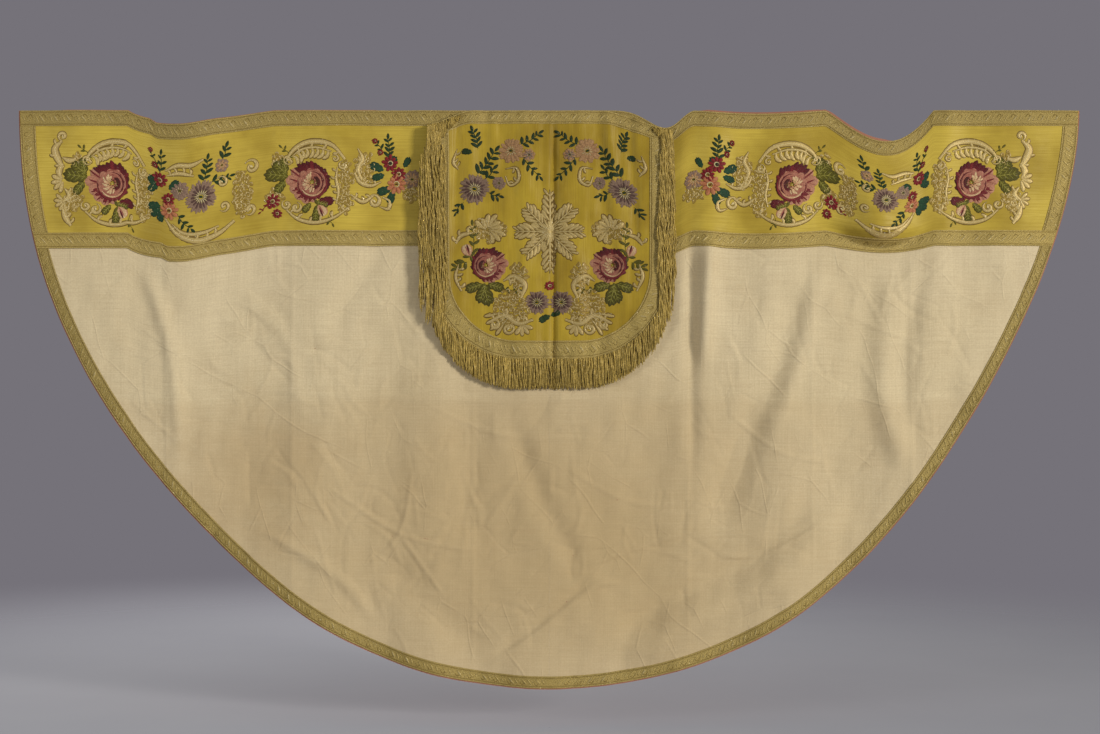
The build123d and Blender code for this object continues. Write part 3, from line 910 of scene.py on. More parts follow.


def star(m):
    """A radiant cross of eight leafy metal-thread arms."""
    arms = 8
    for k in range(arms):
        angle = 360 / arms * k + 90
        reach = (106, 88, 88, 88)[k % 4]
        for t, size in ((0.26, 30), (0.40, 33), (0.55, 31), (0.70, 27), (0.84, 20)):
            root = reach * t * bearing_of(angle)
            for hand in (-1, 1):
                m.lobe(angle + hand * 42, size * m.dice.uniform(0.8, 1.15), size * 0.36, root, -hand * 8,
                       0.5 * (1 - t))
        m.gilt([(0, 0), reach * 0.5 * bearing_of(angle), reach * bearing_of(angle)], 5, 0.8)
        m.lobe(angle + 22.5, 50, 13, (0, 0), 0.0, 0.3)
    for k in range(24):
        m.lobe(15 * k + 7, 27 + 10 * (k % 2), 6, (0, 0), 0.0, 1.3)


def hood_half_weaving(side, flowers, scrolls):
    """One half of the hood's pattern; the other half is its mirror image."""
    def motif(pile, x, z, scale=1.0, turned=False):
        return Motif(pile, (side * x, z), side, scale, turned, tint=HOOD_SHADE)

    tip = motif(scrolls, 0.147, -0.289)
    tip.tangle((0, -2), (76, 56))
    for angle in range(20, 240, 27):
        tip.lobe(angle, 38 + 5 * math.cos(angle), 13, (0, -4), 16, 0.5, 8)
    tip.scroll([(38, -10), (66, -16), (80, -34)], 10, 3, 1, 14)
    side_curls = motif(scrolls, 0.205, -0.415)
    side_curls.scroll([(14, 40), (22, 8), (8, -26)], 7, 4, -1, 12)
    upper = motif(scrolls, 0.150, -0.120)
    upper.scroll([(74, 34), (84, 6), (70, -18)], 6, 3, -1, 10)
    upper.scroll([(-44, -24), (-72, -22), (-76, -52), (-54, -64), (-44, -42)], 6, 3, 1, 10)
    lower = motif(scrolls, 0.085, -0.470)
    lower.tangle((8, -14), (84, 88))
    lower.tangle((-10, 68), (40, 52))
    lower.scroll([(26, 54), (0, 66), (-26, 44), (-16, 12)], 11, 4, 1, 13)
    lower.scroll([(66, -48), (24, -30), (-10, -50), (-46, -40)], 11, 4, -1, 14)
    lower.coil((14, -62), 15, 120, 7)
    lower.coil((48, -52), 14, 60, 7)
    lower.shell((-18, -52), -110, 28, 4, 100)
    for angle in (-10, -25, -40, -55):
        lower.lobe(angle, 70, 9, (4, -20), 0.0, 0.5, 38)

    top = motif(flowers, 0.092, -0.100)
    top.spray((-20, 14), (-66, 42), 4, 17)
    top.spray((-26, -10), (-68, -62), 4, 16)
    top.daisy(32, 11, (0, 0), SOFT_PINK, SOFT_PINK)
    top.daisy(16, 7, (-42, -10), SOFT_PINK, LILAC)
    outer = motif(flowers, 0.182, -0.193)
    outer.spray((-4, 34), (-50, 92), 5, 20)
    outer.spray((-24, 24), (-46, 48), 2, 18)
    outer.spray((-34, -6), (-60, -16), 2, 16)
    outer.spray((24, -30), (42, -50), 2, 15)
    outer.spray((-8, 96), (4, 140), 4, 17)
    outer.leaves((6, 88, 20, 26), tones=SPRIG, veins=False)
    outer.daisy(38, 16)
    outer.daisy(17, 6, (-60, 14), LILAC, LILAC)
    bunch = motif(flowers, 0.152, -0.378)
    bunch.spray((34, 20), (36, 96), 4, 17, OLIVE_SPRIG)
    bunch.spray((46, 8), (74, -6), 3, 18, OLIVE_SPRIG)
    bunch.bud((40, 22), 64, 30)
    bunch.leaves((12, -46, -20, 44), (-4, -46, 196, 42), (2, -46, -70, 50), (8, -44, -104, 58))
    bunch.spray((-20, -52), (-78, -60), 3, 10, OLIVE_SPRIG)
    motif(flowers, 0.152, -0.378, 0.80, turned=True).rose()
    low = motif(flowers, 0.030, -0.468)
    low.daisy(30, 13, (0, 0), LILAC, DAISY)


def hood_weaving(materials):
    """The flowers and the scrolls of the hood, with the star in its middle."""
    flowers, scrolls = Pile(HOOD), Pile(HOOD)
    for side in (-1, 1):
        hood_half_weaving(side, flowers, scrolls)
    centre = Motif(flowers, (0, -0.500), 1, 1.0)
    centre.leaves((0, 0, -150, 30), (2, 0, 20, 28), tones=SPRIG, veins=False)
    centre.blossom((0, 72), 12)
    star(Motif(scrolls, (0, -0.296), 1, 0.96, tint=HOOD_SHADE))
    for pile, kind, slot in ((flowers, "flowers", "yellow_silk"), (scrolls, "scrolls", "gold_galloon")):
        finish_piece(pile, f"hood_{kind}", materials[kind], slot, "hood")


# ============================================================================ braid
def braid(surface, at, length, width, layer, tint, step=7 * MM, pitch=33 * MM):
    """A woven galloon: `at` turns (distance along, distance across) into a place."""
    pile = Pile(surface)
    count = max(2, int(length / step))
    along, across = np.meshgrid(np.linspace(0, length, count + 1), np.linspace(0, width, 6))
    # tint darkens the whole galloon, ground and figure: painted shade where it catches less light, and
    # on the hem its duller tone too
    sheet(pile, *at(along, across), layer, tint * np.array(GOLD))
    top = layer[1] - 0.1 * MM

    def line(run, rise, half, crown, tones):
        spine = np.stack(at(run, rise), -1)
        taper = np.maximum(np.sin(math.pi * np.linspace(0, 1, len(spine))) ** 0.5, 0.3)
        stroke(pile, spine, half * MM * (taper if len(spine) < 10 else 1), crown * MM,
               [tint * np.array(tone) for tone in tones], top)

    run = np.linspace(0.5 * MM, length - 0.5 * MM, count + 1)
    for inset, half, tones in ((1.5, 1.2, GOLD_LIGHT), (4.2, 0.8, GOLD_DARK), (6.4, 0.7, GOLD_LIGHT)):
        for rise in (inset * MM, width - inset * MM):
            line(run, np.full(len(run), rise), half, 0.8, tones)
    repeats = int(length / pitch)
    margin = (length - repeats * pitch) / 2
    t = np.linspace(0, 1, 7)
    curl = np.radians(-40 + 250 * t)
    # The woven figure: places along the repeat, places across, half width, crown, tones.
    slash = (0.18 + 0.40 * t, 0.9 - 1.8 * t, 3.6, 1.3, GOLD_LIGHT)
    # the glint line is a painted highlight; it is left out where the metal is more worn
    glint = (0.24 + 0.28 * t, 0.6 - 1.2 * t, 1.2, 1.8, GLINT)
    short_slash = (0.62 + 0.24 * t, 0.8 - 1.5 * t, 2.2, 1.1, GOLD_LIGHT)
    ring = (0.84 + 0.16 * np.cos(curl), 0.55 * np.sin(curl), 1.2, 0.9, GOLD_LIGHT)
    bow = (0.05 + 0.4 * t, -np.sin(math.pi * t), 1.1, 0.8, GOLD_DARK)
    dice = np.random.default_rng(int(length * 1e4))
    for k in range(repeats):
        start = margin + (k + dice.uniform(-0.06, 0.06)) * pitch
        metal_left = dice.uniform(0.35, 1.1)
        for part in (slash, glint, short_slash, ring, bow):
            run, rise, half, crown, tones = part
            if part is glint and metal_left <= 0.8:
                continue
            line(start + pitch * run, width / 2 + width * 0.25 * rise,
                 half * (metal_left if part is slash else 1), crown, tones)
    return pile


def cloak_braids(side, material):
    """The galloons of one half of the cloak."""
    name = SIDES[side]
    start = 0.2 * MM
    end_top, end_bottom = GALLOON + 0.3 * MM, BAND - GALLOON - 0.3 * MM
    lower_length = float(hem_x(BAND - GALLOON / 2, side))
    sample = np.linspace(math.asin((BAND + 0.5 * MM) / DROP), math.pi / 2, 400)
    hem_line = np.stack(hem_place(sample, 0.0, side))
    arc = np.concatenate([[0], np.cumsum(np.hypot(*np.diff(hem_line)))])

    def top(s, t):
        return side * (start + s), -t

    def lower(s, t):
        down = BAND - GALLOON + t
        return side * (start + s * (hem_x(down, side) - 1.5 * MM) / lower_length), -down

    def end(s, t):
        down = end_top + s
        return side * (hem_x(down, side) - t), -down

    def hem(s, t):
        return hem_place(np.interp(s, arc, sample), t, side)

    # The last figure darkens each galloon: painted shade for the light it catches where it hangs, and
    # for the hem braid its duller tone as well.
    plans = (
        ("top_galloon", top, HALF_WIDTH - 2 * MM, GALLOON, BRAID, 0.84),
        ("lower_galloon", lower, lower_length, GALLOON, BRAID, 0.98),
        ("end_galloon", end, end_bottom - end_top, GALLOON, BRAID, 0.94),
        ("hem_galloon", hem, arc[-1], HEM_BRAID, HEM, 0.80),
    )
    for kind, at, length, width, layer, tint in plans:
        pile = braid(CLOAK, at, length, width, layer, tint)
        if kind == "end_galloon":
            finish_piece(pile, f"{kind}_{name}_braid", material, "gold_galloon", f"{name}_front",
                         f"{kind}_{name}")
        else:
            finish_turning_piece(pile, f"{kind}_{name}_half", material, "gold_galloon", side,
                                 f"{kind}_{name}", f"{kind}_back")


# ============================================================ the layers of the cloak
def cloak_layers(side, materials):
    """Lining, body cloth, canvas and orphrey silk of one half, cut at centre back."""
    name = SIDES[side]
    x, z = quarter(side, LINING_EDGE, 150, 150)
    # Where the lining stands up past the neck edge: from x, to x, by how much.
    shows = ((-1.20, -0.40, 1.5 * MM), (0.36, 0.68, 4.0 * MM), (0.66, 0.84, 6.0 * MM))
    rim = sum(height * ramp(0, 0.03, x - start) * ramp(0, 0.03, end - x)
              for start, end, height in shows)
    plans = (
        ("lining", (x, z + rim * ramp(0.03, 0.0, -z)), LINING, "lining", "lining_twill",
         ("lining_back",)),
        ("body_cloth", quarter(side, -0.5 * MM, 260, 290), CLOTH, "linen", "body_linen",
         ("body_cloth_back",)),
        ("orphrey_canvas", band_grid(side, 4 * MM, BAND - 4 * MM, 4 * MM, 160, 40), CANVAS, "canvas",
         "stiffening_canvas", ("orphrey_canvas_back",)),
        ("orphrey_silk", band_grid(side, 0.0, BAND, 0.5 * MM, 260, 66), SILK, "band_silk",
         "yellow_silk", (f"orphrey_silk_back_{name}",)),
    )
    for kind, (x, z), layer, material, slot, back_nodes in plans:
        pile = Pile(CLOAK)
        sheet(pile, x + side * 0.1 * MM, z, layer)
        finish_turning_piece(pile, f"{kind}_{name}_half", materials[material], slot, side,
                             f"{kind}_{name}", *back_nodes)


# ======================================================================== the hood
def hood_shape(margin):
    """Half width, depth and corner radius of the hood's U, grown by margin."""
    return (HOOD_SIDE - HOOD_BRAID + margin, HOOD_LOW - HOOD_BRAID + margin,
            HOOD_CORNER - HOOD_BRAID + margin)


def hood_grid(low_share, high_share, margin, top, cells_x, cells_z):
    """A grid over part of the hood's width, from one share of its half width to another."""
    half, low, corner = hood_shape(margin)
    down = top + (low - top) * np.sin(np.linspace(0, math.pi / 2, cells_z + 1)) ** 0.9
    u, down = np.meshgrid(np.linspace(low_share, high_share, cells_x + 1), down)
    into = np.clip(down - (low - corner), 0.0, corner)
    return u * (half - corner + np.sqrt(corner ** 2 - into ** 2)), -down


def hood_path(margin):
    """(length, place) of the U round the hood, from its top left to its top right."""
    half, low, corner = hood_shape(margin)
    top = HOOD_TOP_BRAID + 2.4 * MM
    straight = low - corner - top
    quarter_turn = corner * math.pi / 2
    flat = 2 * (half - corner)
    length = 2 * (straight + quarter_turn) + flat

    def at(s, t):
        inset = corner - t
        first = np.clip(s, 0, straight)
        bend = np.clip(s - straight, 0, quarter_turn) / corner
        run = np.clip(s - straight - quarter_turn, 0, flat)
        back = np.clip(s - straight - quarter_turn - flat, 0, quarter_turn) / corner
        last = np.clip(s - straight - 2 * quarter_turn - flat, 0, straight)
        turn = bend + back
        x = np.where(back > 0, half - corner, -(half - corner) + run) - inset * np.cos(turn)
        z = -(top + first) - inset * np.sin(turn) + last
        return x, z
    return length, at


def hood_layers(materials):
    """Lining, buckram and the two pieces of silk, which meet at the middle."""
    gap = 0.0004
    silk = (2.2 * MM, SILK[1])
    plans = (
        ("hood_lining", (-1, 1), HOOD_BRAID - 2 * MM, LINING, "lining", "lining_twill"),
        ("hood_buckram", (-1, 1), HOOD_BRAID - 4 * MM, (1.0 * MM, 2.0 * MM), "canvas",
         "stiffening_canvas"),
        ("hood_silk_left", (-1, -gap), HOOD_BRAID, silk, "hood_silk", "yellow_silk"),
        ("hood_silk_right", (gap, 1), HOOD_BRAID, silk, "hood_silk", "yellow_silk"),
    )
    for node, shares, margin, layer, material, slot in plans:
        pile = Pile(HOOD)
        sheet(pile, *hood_grid(*shares, margin, 2 * MM, 90, 120), layer)
        finish_piece(pile, f"{node}_cloth", materials[material], slot, "hood", node)


def hood_braids(material):
    """The galloons of the hood, and the corded heading that its fringe hangs from."""
    def top(s, t):
        return s - HOOD_SIDE, -2.2 * MM - t

    length, around = hood_path(HOOD_BRAID)
    plans = (("hood_top_galloon", top, 2 * HOOD_SIDE, HOOD_TOP_BRAID),
             ("hood_border_galloon", around, length, HOOD_BRAID))
    for node, at, run, width in plans:
        # 0.88 darkens the hood's galloons: painted shade, as the hood catches less light
        pile = braid(HOOD, at, run, width, BRAID, 0.88, 3 * MM)
        finish_piece(pile, f"{node}_braid", material, "gold_galloon", "hood", node)

    width, rear, front, steps = 8 * MM, 3.0 * MM, 5.0 * MM, 240
    length, edge = hood_path(HOOD_BRAID + width)
    pile = Pile(HOOD)
    along, across = np.meshgrid(np.linspace(0, length, steps), np.linspace(0, width, 4))
    sheet(pile, *edge(along, across), (rear, front), GOLD_DARK[0])
    run = np.linspace(1 * MM, length - 1 * MM, steps)
    for inset in (1.5 * MM, 4.0 * MM, 6.5 * MM):
        spine = np.stack(edge(run, np.full(steps, inset)), -1)
        stroke(pile, spine, 1.1 * MM, 1.0 * MM, GOLD_LIGHT, front)
    finish_piece(pile, "fringe_heading_cord", material, "gold_galloon", "hood", "fringe_heading")


# ====================================================================== the fringe
def strands(pile, roots, dice):
    """Adds twisted cords that hang from their roots (x, z, lift), each with its length."""
    count, samples, sides = roots.shape[1], 15, 6
    thickness, twisting = 1.3 * MM, 26
    root_x, root_z, root_lift, length = roots[..., None]
    t = np.linspace(0, 1, samples)[None, :]
    drift = dice.normal(0, 2.4, (count, 1)) * MM
    sway = dice.normal(0, 1.3, (count, 1)) * MM
    phase = dice.uniform(0, 2 * math.pi, (count, 1))
    long = length * dice.uniform(0.93, 1.04, (count, 1))
    x = root_x + drift * t + sway * np.sin(2 * math.pi * t * 0.8 + phase)
    z = root_z - long * t
    lift = root_lift + (2.5 * np.sin(math.pi * t * 0.9) - 1.5 * t) * MM + sway * np.cos(5 * t + phase)
    middle = HOOD.place(x, z, lift)[:, :, None]
    angle = np.linspace(0, 2 * math.pi, sides, endpoint=False)[None, None, :]
    t = t[..., None]
    twist = angle - twisting * t + phase[..., None]
    radius = thickness * dice.uniform(0.85, 1.2, (count, 1, 1)) * (1 + 0.30 * np.cos(2 * twist))
    radius = radius * np.where(t > 0.97, 0.65, 1.0)              # the cut end is thinner
    ring = np.stack([radius * np.cos(angle), radius * np.sin(angle), np.zeros_like(radius)], -1)
    index = np.arange(count * samples * sides).reshape(count, samples, sides)
    ahead = np.roll(index, -1, axis=2)
    around = np.stack([index[:, :-1], ahead[:, :-1], ahead[:, 1:], index[:, 1:]], -1).reshape(-1, 4)
    shade = dice.uniform(0.70, 1.16, (count, 1, 1)) * (1 - 0.10 * t)
    colours = (shade[..., None] * np.array(FRINGE_GOLD)).repeat(sides, axis=2).reshape(-1, 3)
    cloth_map = np.stack(np.broadcast_arrays(x[..., None], z[..., None] + 0 * angle), -1).reshape(-1, 2)
    pile.add_points((middle + ring).reshape(-1, 3), cloth_map, around, colours)
    pile.faces.append(np.concatenate([index[:, 0, ::-1], index[:, -1, :]]))


def side_roots(x, z, lift, dice):
    """Draws the strands beside the hood outwards and up, where they hang from its edge."""
    upright = ramp(HOOD_SIDE - 14 * MM, HOOD_SIDE + 2 * MM, np.abs(x))
    spread = dice.uniform(0, 1, len(x))
    shift = np.where(x < 0, -26 + 64 * spread, -14 + 36 * spread) * MM
    raised = 31 * MM * ramp(0.08, 0.0, -z - HOOD_TOP_BRAID) * upright * np.sqrt(spread)
    z = z + raised
    x = x - np.sign(x) * shift * upright * ramp(-0.020, 0.050, -z - HOOD_TOP_BRAID)
    x = x - np.sign(x) * upright * 0.9 * np.maximum(0, raised - 12 * MM)
    return x, z, lift + 3.0 * MM * upright * (np.abs(x) < HOOD_SIDE) + 0.05 * raised


def fringe(material):
    """Strands round the U: the side strands ride on the hood; those that reach past the fold line make
    the bottom fringe, fixed in place.
    """
    long = FRINGE_LOW - FRINGE_TOP + 2 * MM
    run, edge = hood_path(HOOD_BRAID + 6 * MM)
    dice = np.random.default_rng(30)
    rows = ((3.1, 3.2), (3.3, 5.2), (4.6, 6.8), (6.0, 8.0))      # pitch and lift, in mm
    spots = []
    for row, (pitch, lift) in enumerate(rows):
        s = np.arange(0, run, pitch * MM)
        s = s + dice.uniform(-0.3, 0.3, len(s)) * pitch * MM
        x, z = edge(s, np.full(len(s), (2 + row) * MM))
        spots.append(np.stack([x, z, (lift + dice.uniform(-0.6, 0.6, len(s))) * MM]))
    x, z, lift = side_roots(*np.hstack(spots), dice)
    length = np.full(len(x), long)
    # Shorter strands over the hood's two shoulders: side, from x, to x, how many.
    for side, inner, outer, count in ((-1, 0.206, 0.296, 190), (1, 0.246, 0.298, 90)):
        t = np.sqrt(dice.uniform(0, 1, count))
        x = np.append(x, side * (inner + (outer - inner) * t))
        z = np.append(z, -0.004 - 0.006 * dice.uniform(0, 1, count))
        lift = np.append(lift, dice.uniform(6.5, 10.0, count) * MM)
        length = np.append(length, long * (0.12 + 1.1 * t ** 2))
    roots = np.stack([x, z, lift, length])
    low = z - long * 0.96 < -FRINGE_TOP
    plans = (("side_fringe_left", ~low & (x < 0)), ("side_fringe_right", ~low & (x > 0)),
             ("bottom_fringe", low))
    for node, chosen in plans:
        pile = Pile(None)
        strands(pile, roots[:, chosen], dice)
        name = f"{node}_strands"
        if chosen is not low:
            finish_piece(pile, name, material, "gold_fringe", "hood", node)
            continue
        piece = pile.build(name, material)
        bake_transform(piece)
        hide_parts(node)


# =================================================================== the clasp tab
def clasp_tab(materials):
    """A padded silk tab with a braid edge, folded back behind the right front."""
    low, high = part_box("clasp_tab")
    width, length, thick = high.x - low.x, high.z - low.z, high.y - low.y
    corner, inset, puff = 14 * MM, 5 * MM, 1.2 * MM
    flat = Surface(lambda x, z: np.full_like(x, -low.y), lambda x, z: np.zeros_like(x),
                   (low.x, low.z), (high.x, high.z))
    u, v = np.meshgrid(np.linspace(-1, 1, 41), np.linspace(0, 1, 45))
    into = np.clip(v * length - (length - corner), 0, corner)
    half = width / 2 - corner + np.sqrt(corner ** 2 - into ** 2)
    x, z = (low.x + high.x) / 2 + u * half, high.z - v * length
    padding = puff * (1 - np.abs(u) ** 6) * (1 - np.abs(2 * v - 1) ** 8)
    pile = Pile(flat)
    sheet(pile, x, z, (-(thick + padding), np.zeros_like(x)))
    finish_piece(pile, "clasp_tab_silk", materials["hood_silk"], "yellow_silk", "clasp", "clasp_tab")

    edge = Pile(flat)
    left, right, top, bottom = low.x + inset, high.x - inset, high.z - inset, low.z + inset
    loop = [(left, top), (right, top), (right, bottom + corner), (right - corner, bottom),
            (left + corner, bottom), (left, bottom + corner), (left, top)]
    for (x0, z0), (x1, z1) in zip(loop, loop[1:]):
        spine = np.stack([np.linspace(x0, x1, 20), np.linspace(z0, z1, 20)], -1)
        stroke(edge, spine, 4 * MM, -1.6 * MM, GOLD_LIGHT, -(thick + 0.3 * MM))
    m = Motif(edge, ((left + right) / 2, (top + bottom) / 2), 1, 0.7)
    m.ground = -(thick + puff)
    for angle in range(0, 360, 45):
        m.ray(angle, 8, 50, 11, -1.4, GOLD_LIGHT)
    finish_piece(edge, "clasp_tab_braid", materials["galloon"], "gold_galloon", "clasp")


# ====================================================================== materials
class Shader:
    """A new material and short ways to add and join its nodes."""

    def __init__(self, name, **principled):
        self.material = bpy.data.materials.new(name)
        self.material.use_nodes = True
        self.tree = self.material.node_tree
        self.principled = self.tree.nodes["Principled BSDF"]
        self.set(self.principled, principled)
        self.cloth = self.add("ShaderNodeUVMap", uv_map="cloth").outputs["UV"]

    def set(self, node, inputs):
        """Sets or links inputs, each given by its number or by its name."""
        for name, value in inputs.items():
            socket = node.inputs[name if isinstance(name, int) else name.replace("_", " ")]
            if isinstance(value, bpy.types.NodeSocket):
                self.tree.links.new(value, socket)
            elif isinstance(value, tuple) and len(value) == 3 and socket.type == "RGBA":
                socket.default_value = (*value, 1.0)
            else:
                socket.default_value = value

    def add(self, kind, inputs=None, **settings):
        """A new node with its inputs and its settings."""
        node = self.tree.nodes.new(kind)
        for key, value in settings.items():
            setattr(node, key, value)
        self.set(node, inputs or {})
        return node

    def mapped(self, scale=(1, 1, 1), **more):
        """The cloth map moved, turned or scaled."""
        return self.add("ShaderNodeMapping", {"Vector": self.cloth, "Scale": scale, **more}).outputs[0]

    def noise(self, scale, detail=3.0, along_x=1.0, along_z=1.0, roughness=0.55):
        return self.add("ShaderNodeTexNoise", {
            "Vector": self.mapped((along_x, along_z, 1.0)), "Scale": scale, "Detail": detail,
            "Roughness": roughness}).outputs["Fac"]

    def threads(self, pitch, direction, wobble=0.6):
        """Parallel threads of a given pitch, running across "X" or "Y" of the cloth map."""
        period_at_scale_one = math.pi / 10
        return self.add("ShaderNodeTexWave", {
            "Vector": self.cloth, "Scale": period_at_scale_one / pitch, "Distortion": wobble,
            "Detail": 2.0, "Detail Scale": 1.5}, bands_direction=direction).outputs["Fac"]

    def between(self, value, low, high, to_low=0.0, to_high=1.0):
        """Carries a value smoothly from one range to another."""
        return self.add("ShaderNodeMapRange", {
            "Value": value, "From Min": low, "From Max": high, "To Min": to_low,
            "To Max": to_high}, interpolation_type="SMOOTHSTEP").outputs["Result"]

    def wrinkles(self, turn, scale, width):
        """Fine straight creases in patches, mostly lying turn degrees from the x axis."""
        turned = self.mapped(Rotation=(0, 0, math.radians(turn)), Location=(0.1 * scale, 0.3, 0))
        bent = self.add("ShaderNodeTexNoise", {"Vector": turned, "Scale": 5.0, "Detail": 2.0})
        shift = self.add("ShaderNodeVectorMath", {0: bent.outputs["Color"], 1: (0.05, 0.05, 0.0)},
                         operation="MULTIPLY").outputs[0]
        moved = self.add("ShaderNodeVectorMath", {0: turned, 1: shift}, operation="ADD").outputs[0]
        long = self.add("ShaderNodeMapping", {"Vector": moved, "Scale": (0.45, 1.0, 1.0)}).outputs[0]
        cells = self.add("ShaderNodeTexVoronoi", {"Vector": long, "Scale": scale},
                         feature="DISTANCE_TO_EDGE", voronoi_dimensions="2D").outputs["Distance"]
        patches = self.between(self.noise(scale * 0.45, 3.0), 0.50, 0.64)
        return self.maths("MULTIPLY", self.between(cells, 0.0, width * scale, 1.0, 0.0), patches)

    def from_origin(self, scale=(1, 1, 1), **more):
        """Distance from the origin of the cloth map once it is moved and scaled."""
        return self.add("ShaderNodeVectorMath", {0: self.mapped(scale, **more)},
                        operation="LENGTH").outputs["Value"]

    def cloth_axis(self, axis):
        """The cloth map's "X" (the wall's x) or "Y" (the wall's z)."""
        return self.add("ShaderNodeSeparateXYZ", {0: self.cloth}).outputs[axis]

    def mix(self, factor, a, b):
        return self.add("ShaderNodeMix", {0: factor, 6: a, 7: b}, data_type="RGBA").outputs[2]

    def maths(self, operation, a, b):
        return self.add("ShaderNodeMath", {0: a, 1: b}, operation=operation).outputs[0]

    def thread_colour(self):
        return self.add("ShaderNodeVertexColor", layer_name="thread").outputs["Color"]

    def finish(self, colour, height=None, strength=0.3, distance=0.4 * MM, roughness=None):
        """Joins colour, bump height and roughness to the surface."""
        inputs = {"Base Color": colour}
        if height is not None:
            bump = self.add("ShaderNodeBump", {"Height": height, "Strength": strength,
                                               "Distance": distance})
            inputs["Normal"] = bump.outputs["Normal"]
        if roughness is not None:
            inputs["Roughness"] = roughness
        self.set(self.principled, inputs)
        return self.material


def linen():
    """Cream cloth with slubs and wrinkles, darkened low down by painted shade and its own darker tone,
    with a stain at the lower left.
    """
    s = Shader("aged_cream_cloth", Roughness=0.92, Sheen_Weight=0.12, Sheen_Roughness=0.5,
               Specular_IOR_Level=0.2)
    colour = s.mix(s.between(s.noise(1.8, 3.0), 0.30, 0.72), paint(228, 211, 173), paint(220, 202, 162))
    colour = s.mix(s.between(s.noise(8.0, 6.0, roughness=0.65), 0.46, 0.80, 0.0, 0.30), colour,
                   paint(196, 174, 136))
    grain = s.between(s.noise(230.0, 3.0), 0.36, 0.64, 0.0, 0.20)
    colour = s.mix(grain, colour, paint(180, 157, 118))
    across = s.between(s.noise(1.0, 4.0, 8, 420), 0.32, 0.70, 0.0, 0.22)
    colour = s.mix(across, colour, paint(178, 154, 116))
    upright = s.between(s.noise(1.0, 4.0, 360, 7), 0.36, 0.72, 0.0, 0.18)
    colour = s.mix(upright, colour, paint(182, 160, 122))
    # Painted shade round the lowest point, the stain, the darker lower width and the spots.
    far = s.from_origin((0.80, 1.25, 1.0), Location=(0.03, 1.28, 0.0))
    far = s.maths("ADD", far, s.maths("MULTIPLY", s.noise(2.6, 6.0, roughness=0.6), 0.30))
    colour = s.mix(s.between(far, 0.26, 0.95, 0.58, 0.0), colour, paint(174, 146, 97))
    far = s.from_origin(Location=(0.74, 0.90, 0.0))
    far = s.maths("ADD", far, s.maths("MULTIPLY", s.noise(9.0, 6.0, roughness=0.7), 0.40))
    colour = s.mix(s.between(far, 0.24, 0.50, 0.30, 0.0), colour, paint(170, 138, 90))
    # The lower width is darker partly in its own tone, below the old fold line, and partly by painted
    # shade.
    below = s.between(s.cloth_axis("Y"), -0.72, -0.69, 0.20, 0.0)
    colour = s.mix(below, colour, paint(182, 156, 114))
    spots = s.between(s.noise(38.0, 2.0), 0.75, 0.80, 0.0, 0.30)
    colour = s.mix(spots, colour, paint(140, 104, 62))
    weave = s.maths("ADD", s.threads(1.5 * MM, "X"), s.threads(1.5 * MM, "Y"))
    slubs = s.maths("ADD", s.noise(1.0, 3.0, 10, 520), s.noise(1.0, 3.0, 460, 9))
    height = s.maths("ADD", s.maths("MULTIPLY", weave, 0.3), slubs)
    for turn, scale, width, rise in ((35, 9.0, 0.004, 2.2), (-28, 12.0, 0.004, -2.0),
                                     (80, 15.0, 0.003, 1.8)):
        height = s.maths("ADD", height, s.maths("MULTIPLY", s.wrinkles(turn, scale, width), rise))
    return s.finish(colour, height, 0.50, 0.8 * MM)


def lining():
    """Salmon twill in panels, with a puckered seam between each two."""
    s = Shader("salmon_twill_lining", Roughness=0.8, Sheen_Weight=0.1, Specular_IOR_Level=0.25)
    colour = s.mix(s.between(s.noise(3.0, 5.0), 0.3, 0.7), paint(174, 122, 98), paint(154, 104, 82))
    colour = s.mix(s.between(s.noise(1.0, 3.0, 300, 8), 0.35, 0.75, 0.0, 0.25), colour,
                   paint(136, 78, 64))
    slant = s.mapped(Rotation=(0, 0, math.radians(32)))
    twill = s.add("ShaderNodeTexWave", {"Vector": slant, "Scale": 150.0,
                                        "Distortion": 0.4}).outputs["Fac"]
    panel_width, seam = 0.62, 1.6 * MM
    shifted = s.maths("ADD", s.cloth_axis("X"), panel_width / 2)
    from_seam = s.maths("PINGPONG", shifted, panel_width / 2)
    joined = s.between(from_seam, 0.0, seam, 1.0, 0.0)
    colour = s.mix(s.maths("MULTIPLY", joined, 0.6), colour, paint(104, 62, 50))
    beside = s.between(from_seam, seam, 14 * MM, 1.0, 0.0)
    pucker = s.maths("MULTIPLY", beside, s.noise(1.0, 2.0, 20, 160))
    height = s.maths("ADD", s.maths("MULTIPLY", twill, 0.4), s.maths("MULTIPLY", pucker, 3.0))
    height = s.maths("SUBTRACT", height, s.maths("MULTIPLY", joined, 4.0))
    return s.finish(colour, height, 0.4, 0.5 * MM)


def canvas():
    """Coarse plain-woven stiffening."""
    s = Shader("stiffening_canvas", Roughness=0.95)
    colour = s.mix(s.between(s.noise(9.0, 4.0), 0.3, 0.7), paint(190, 168, 122), paint(160, 138, 96))
    weave = s.maths("ADD", s.threads(2.2 * MM, "X"), s.threads(2.2 * MM, "Y"))
    return s.finish(colour, weave, 0.5, 0.6 * MM)


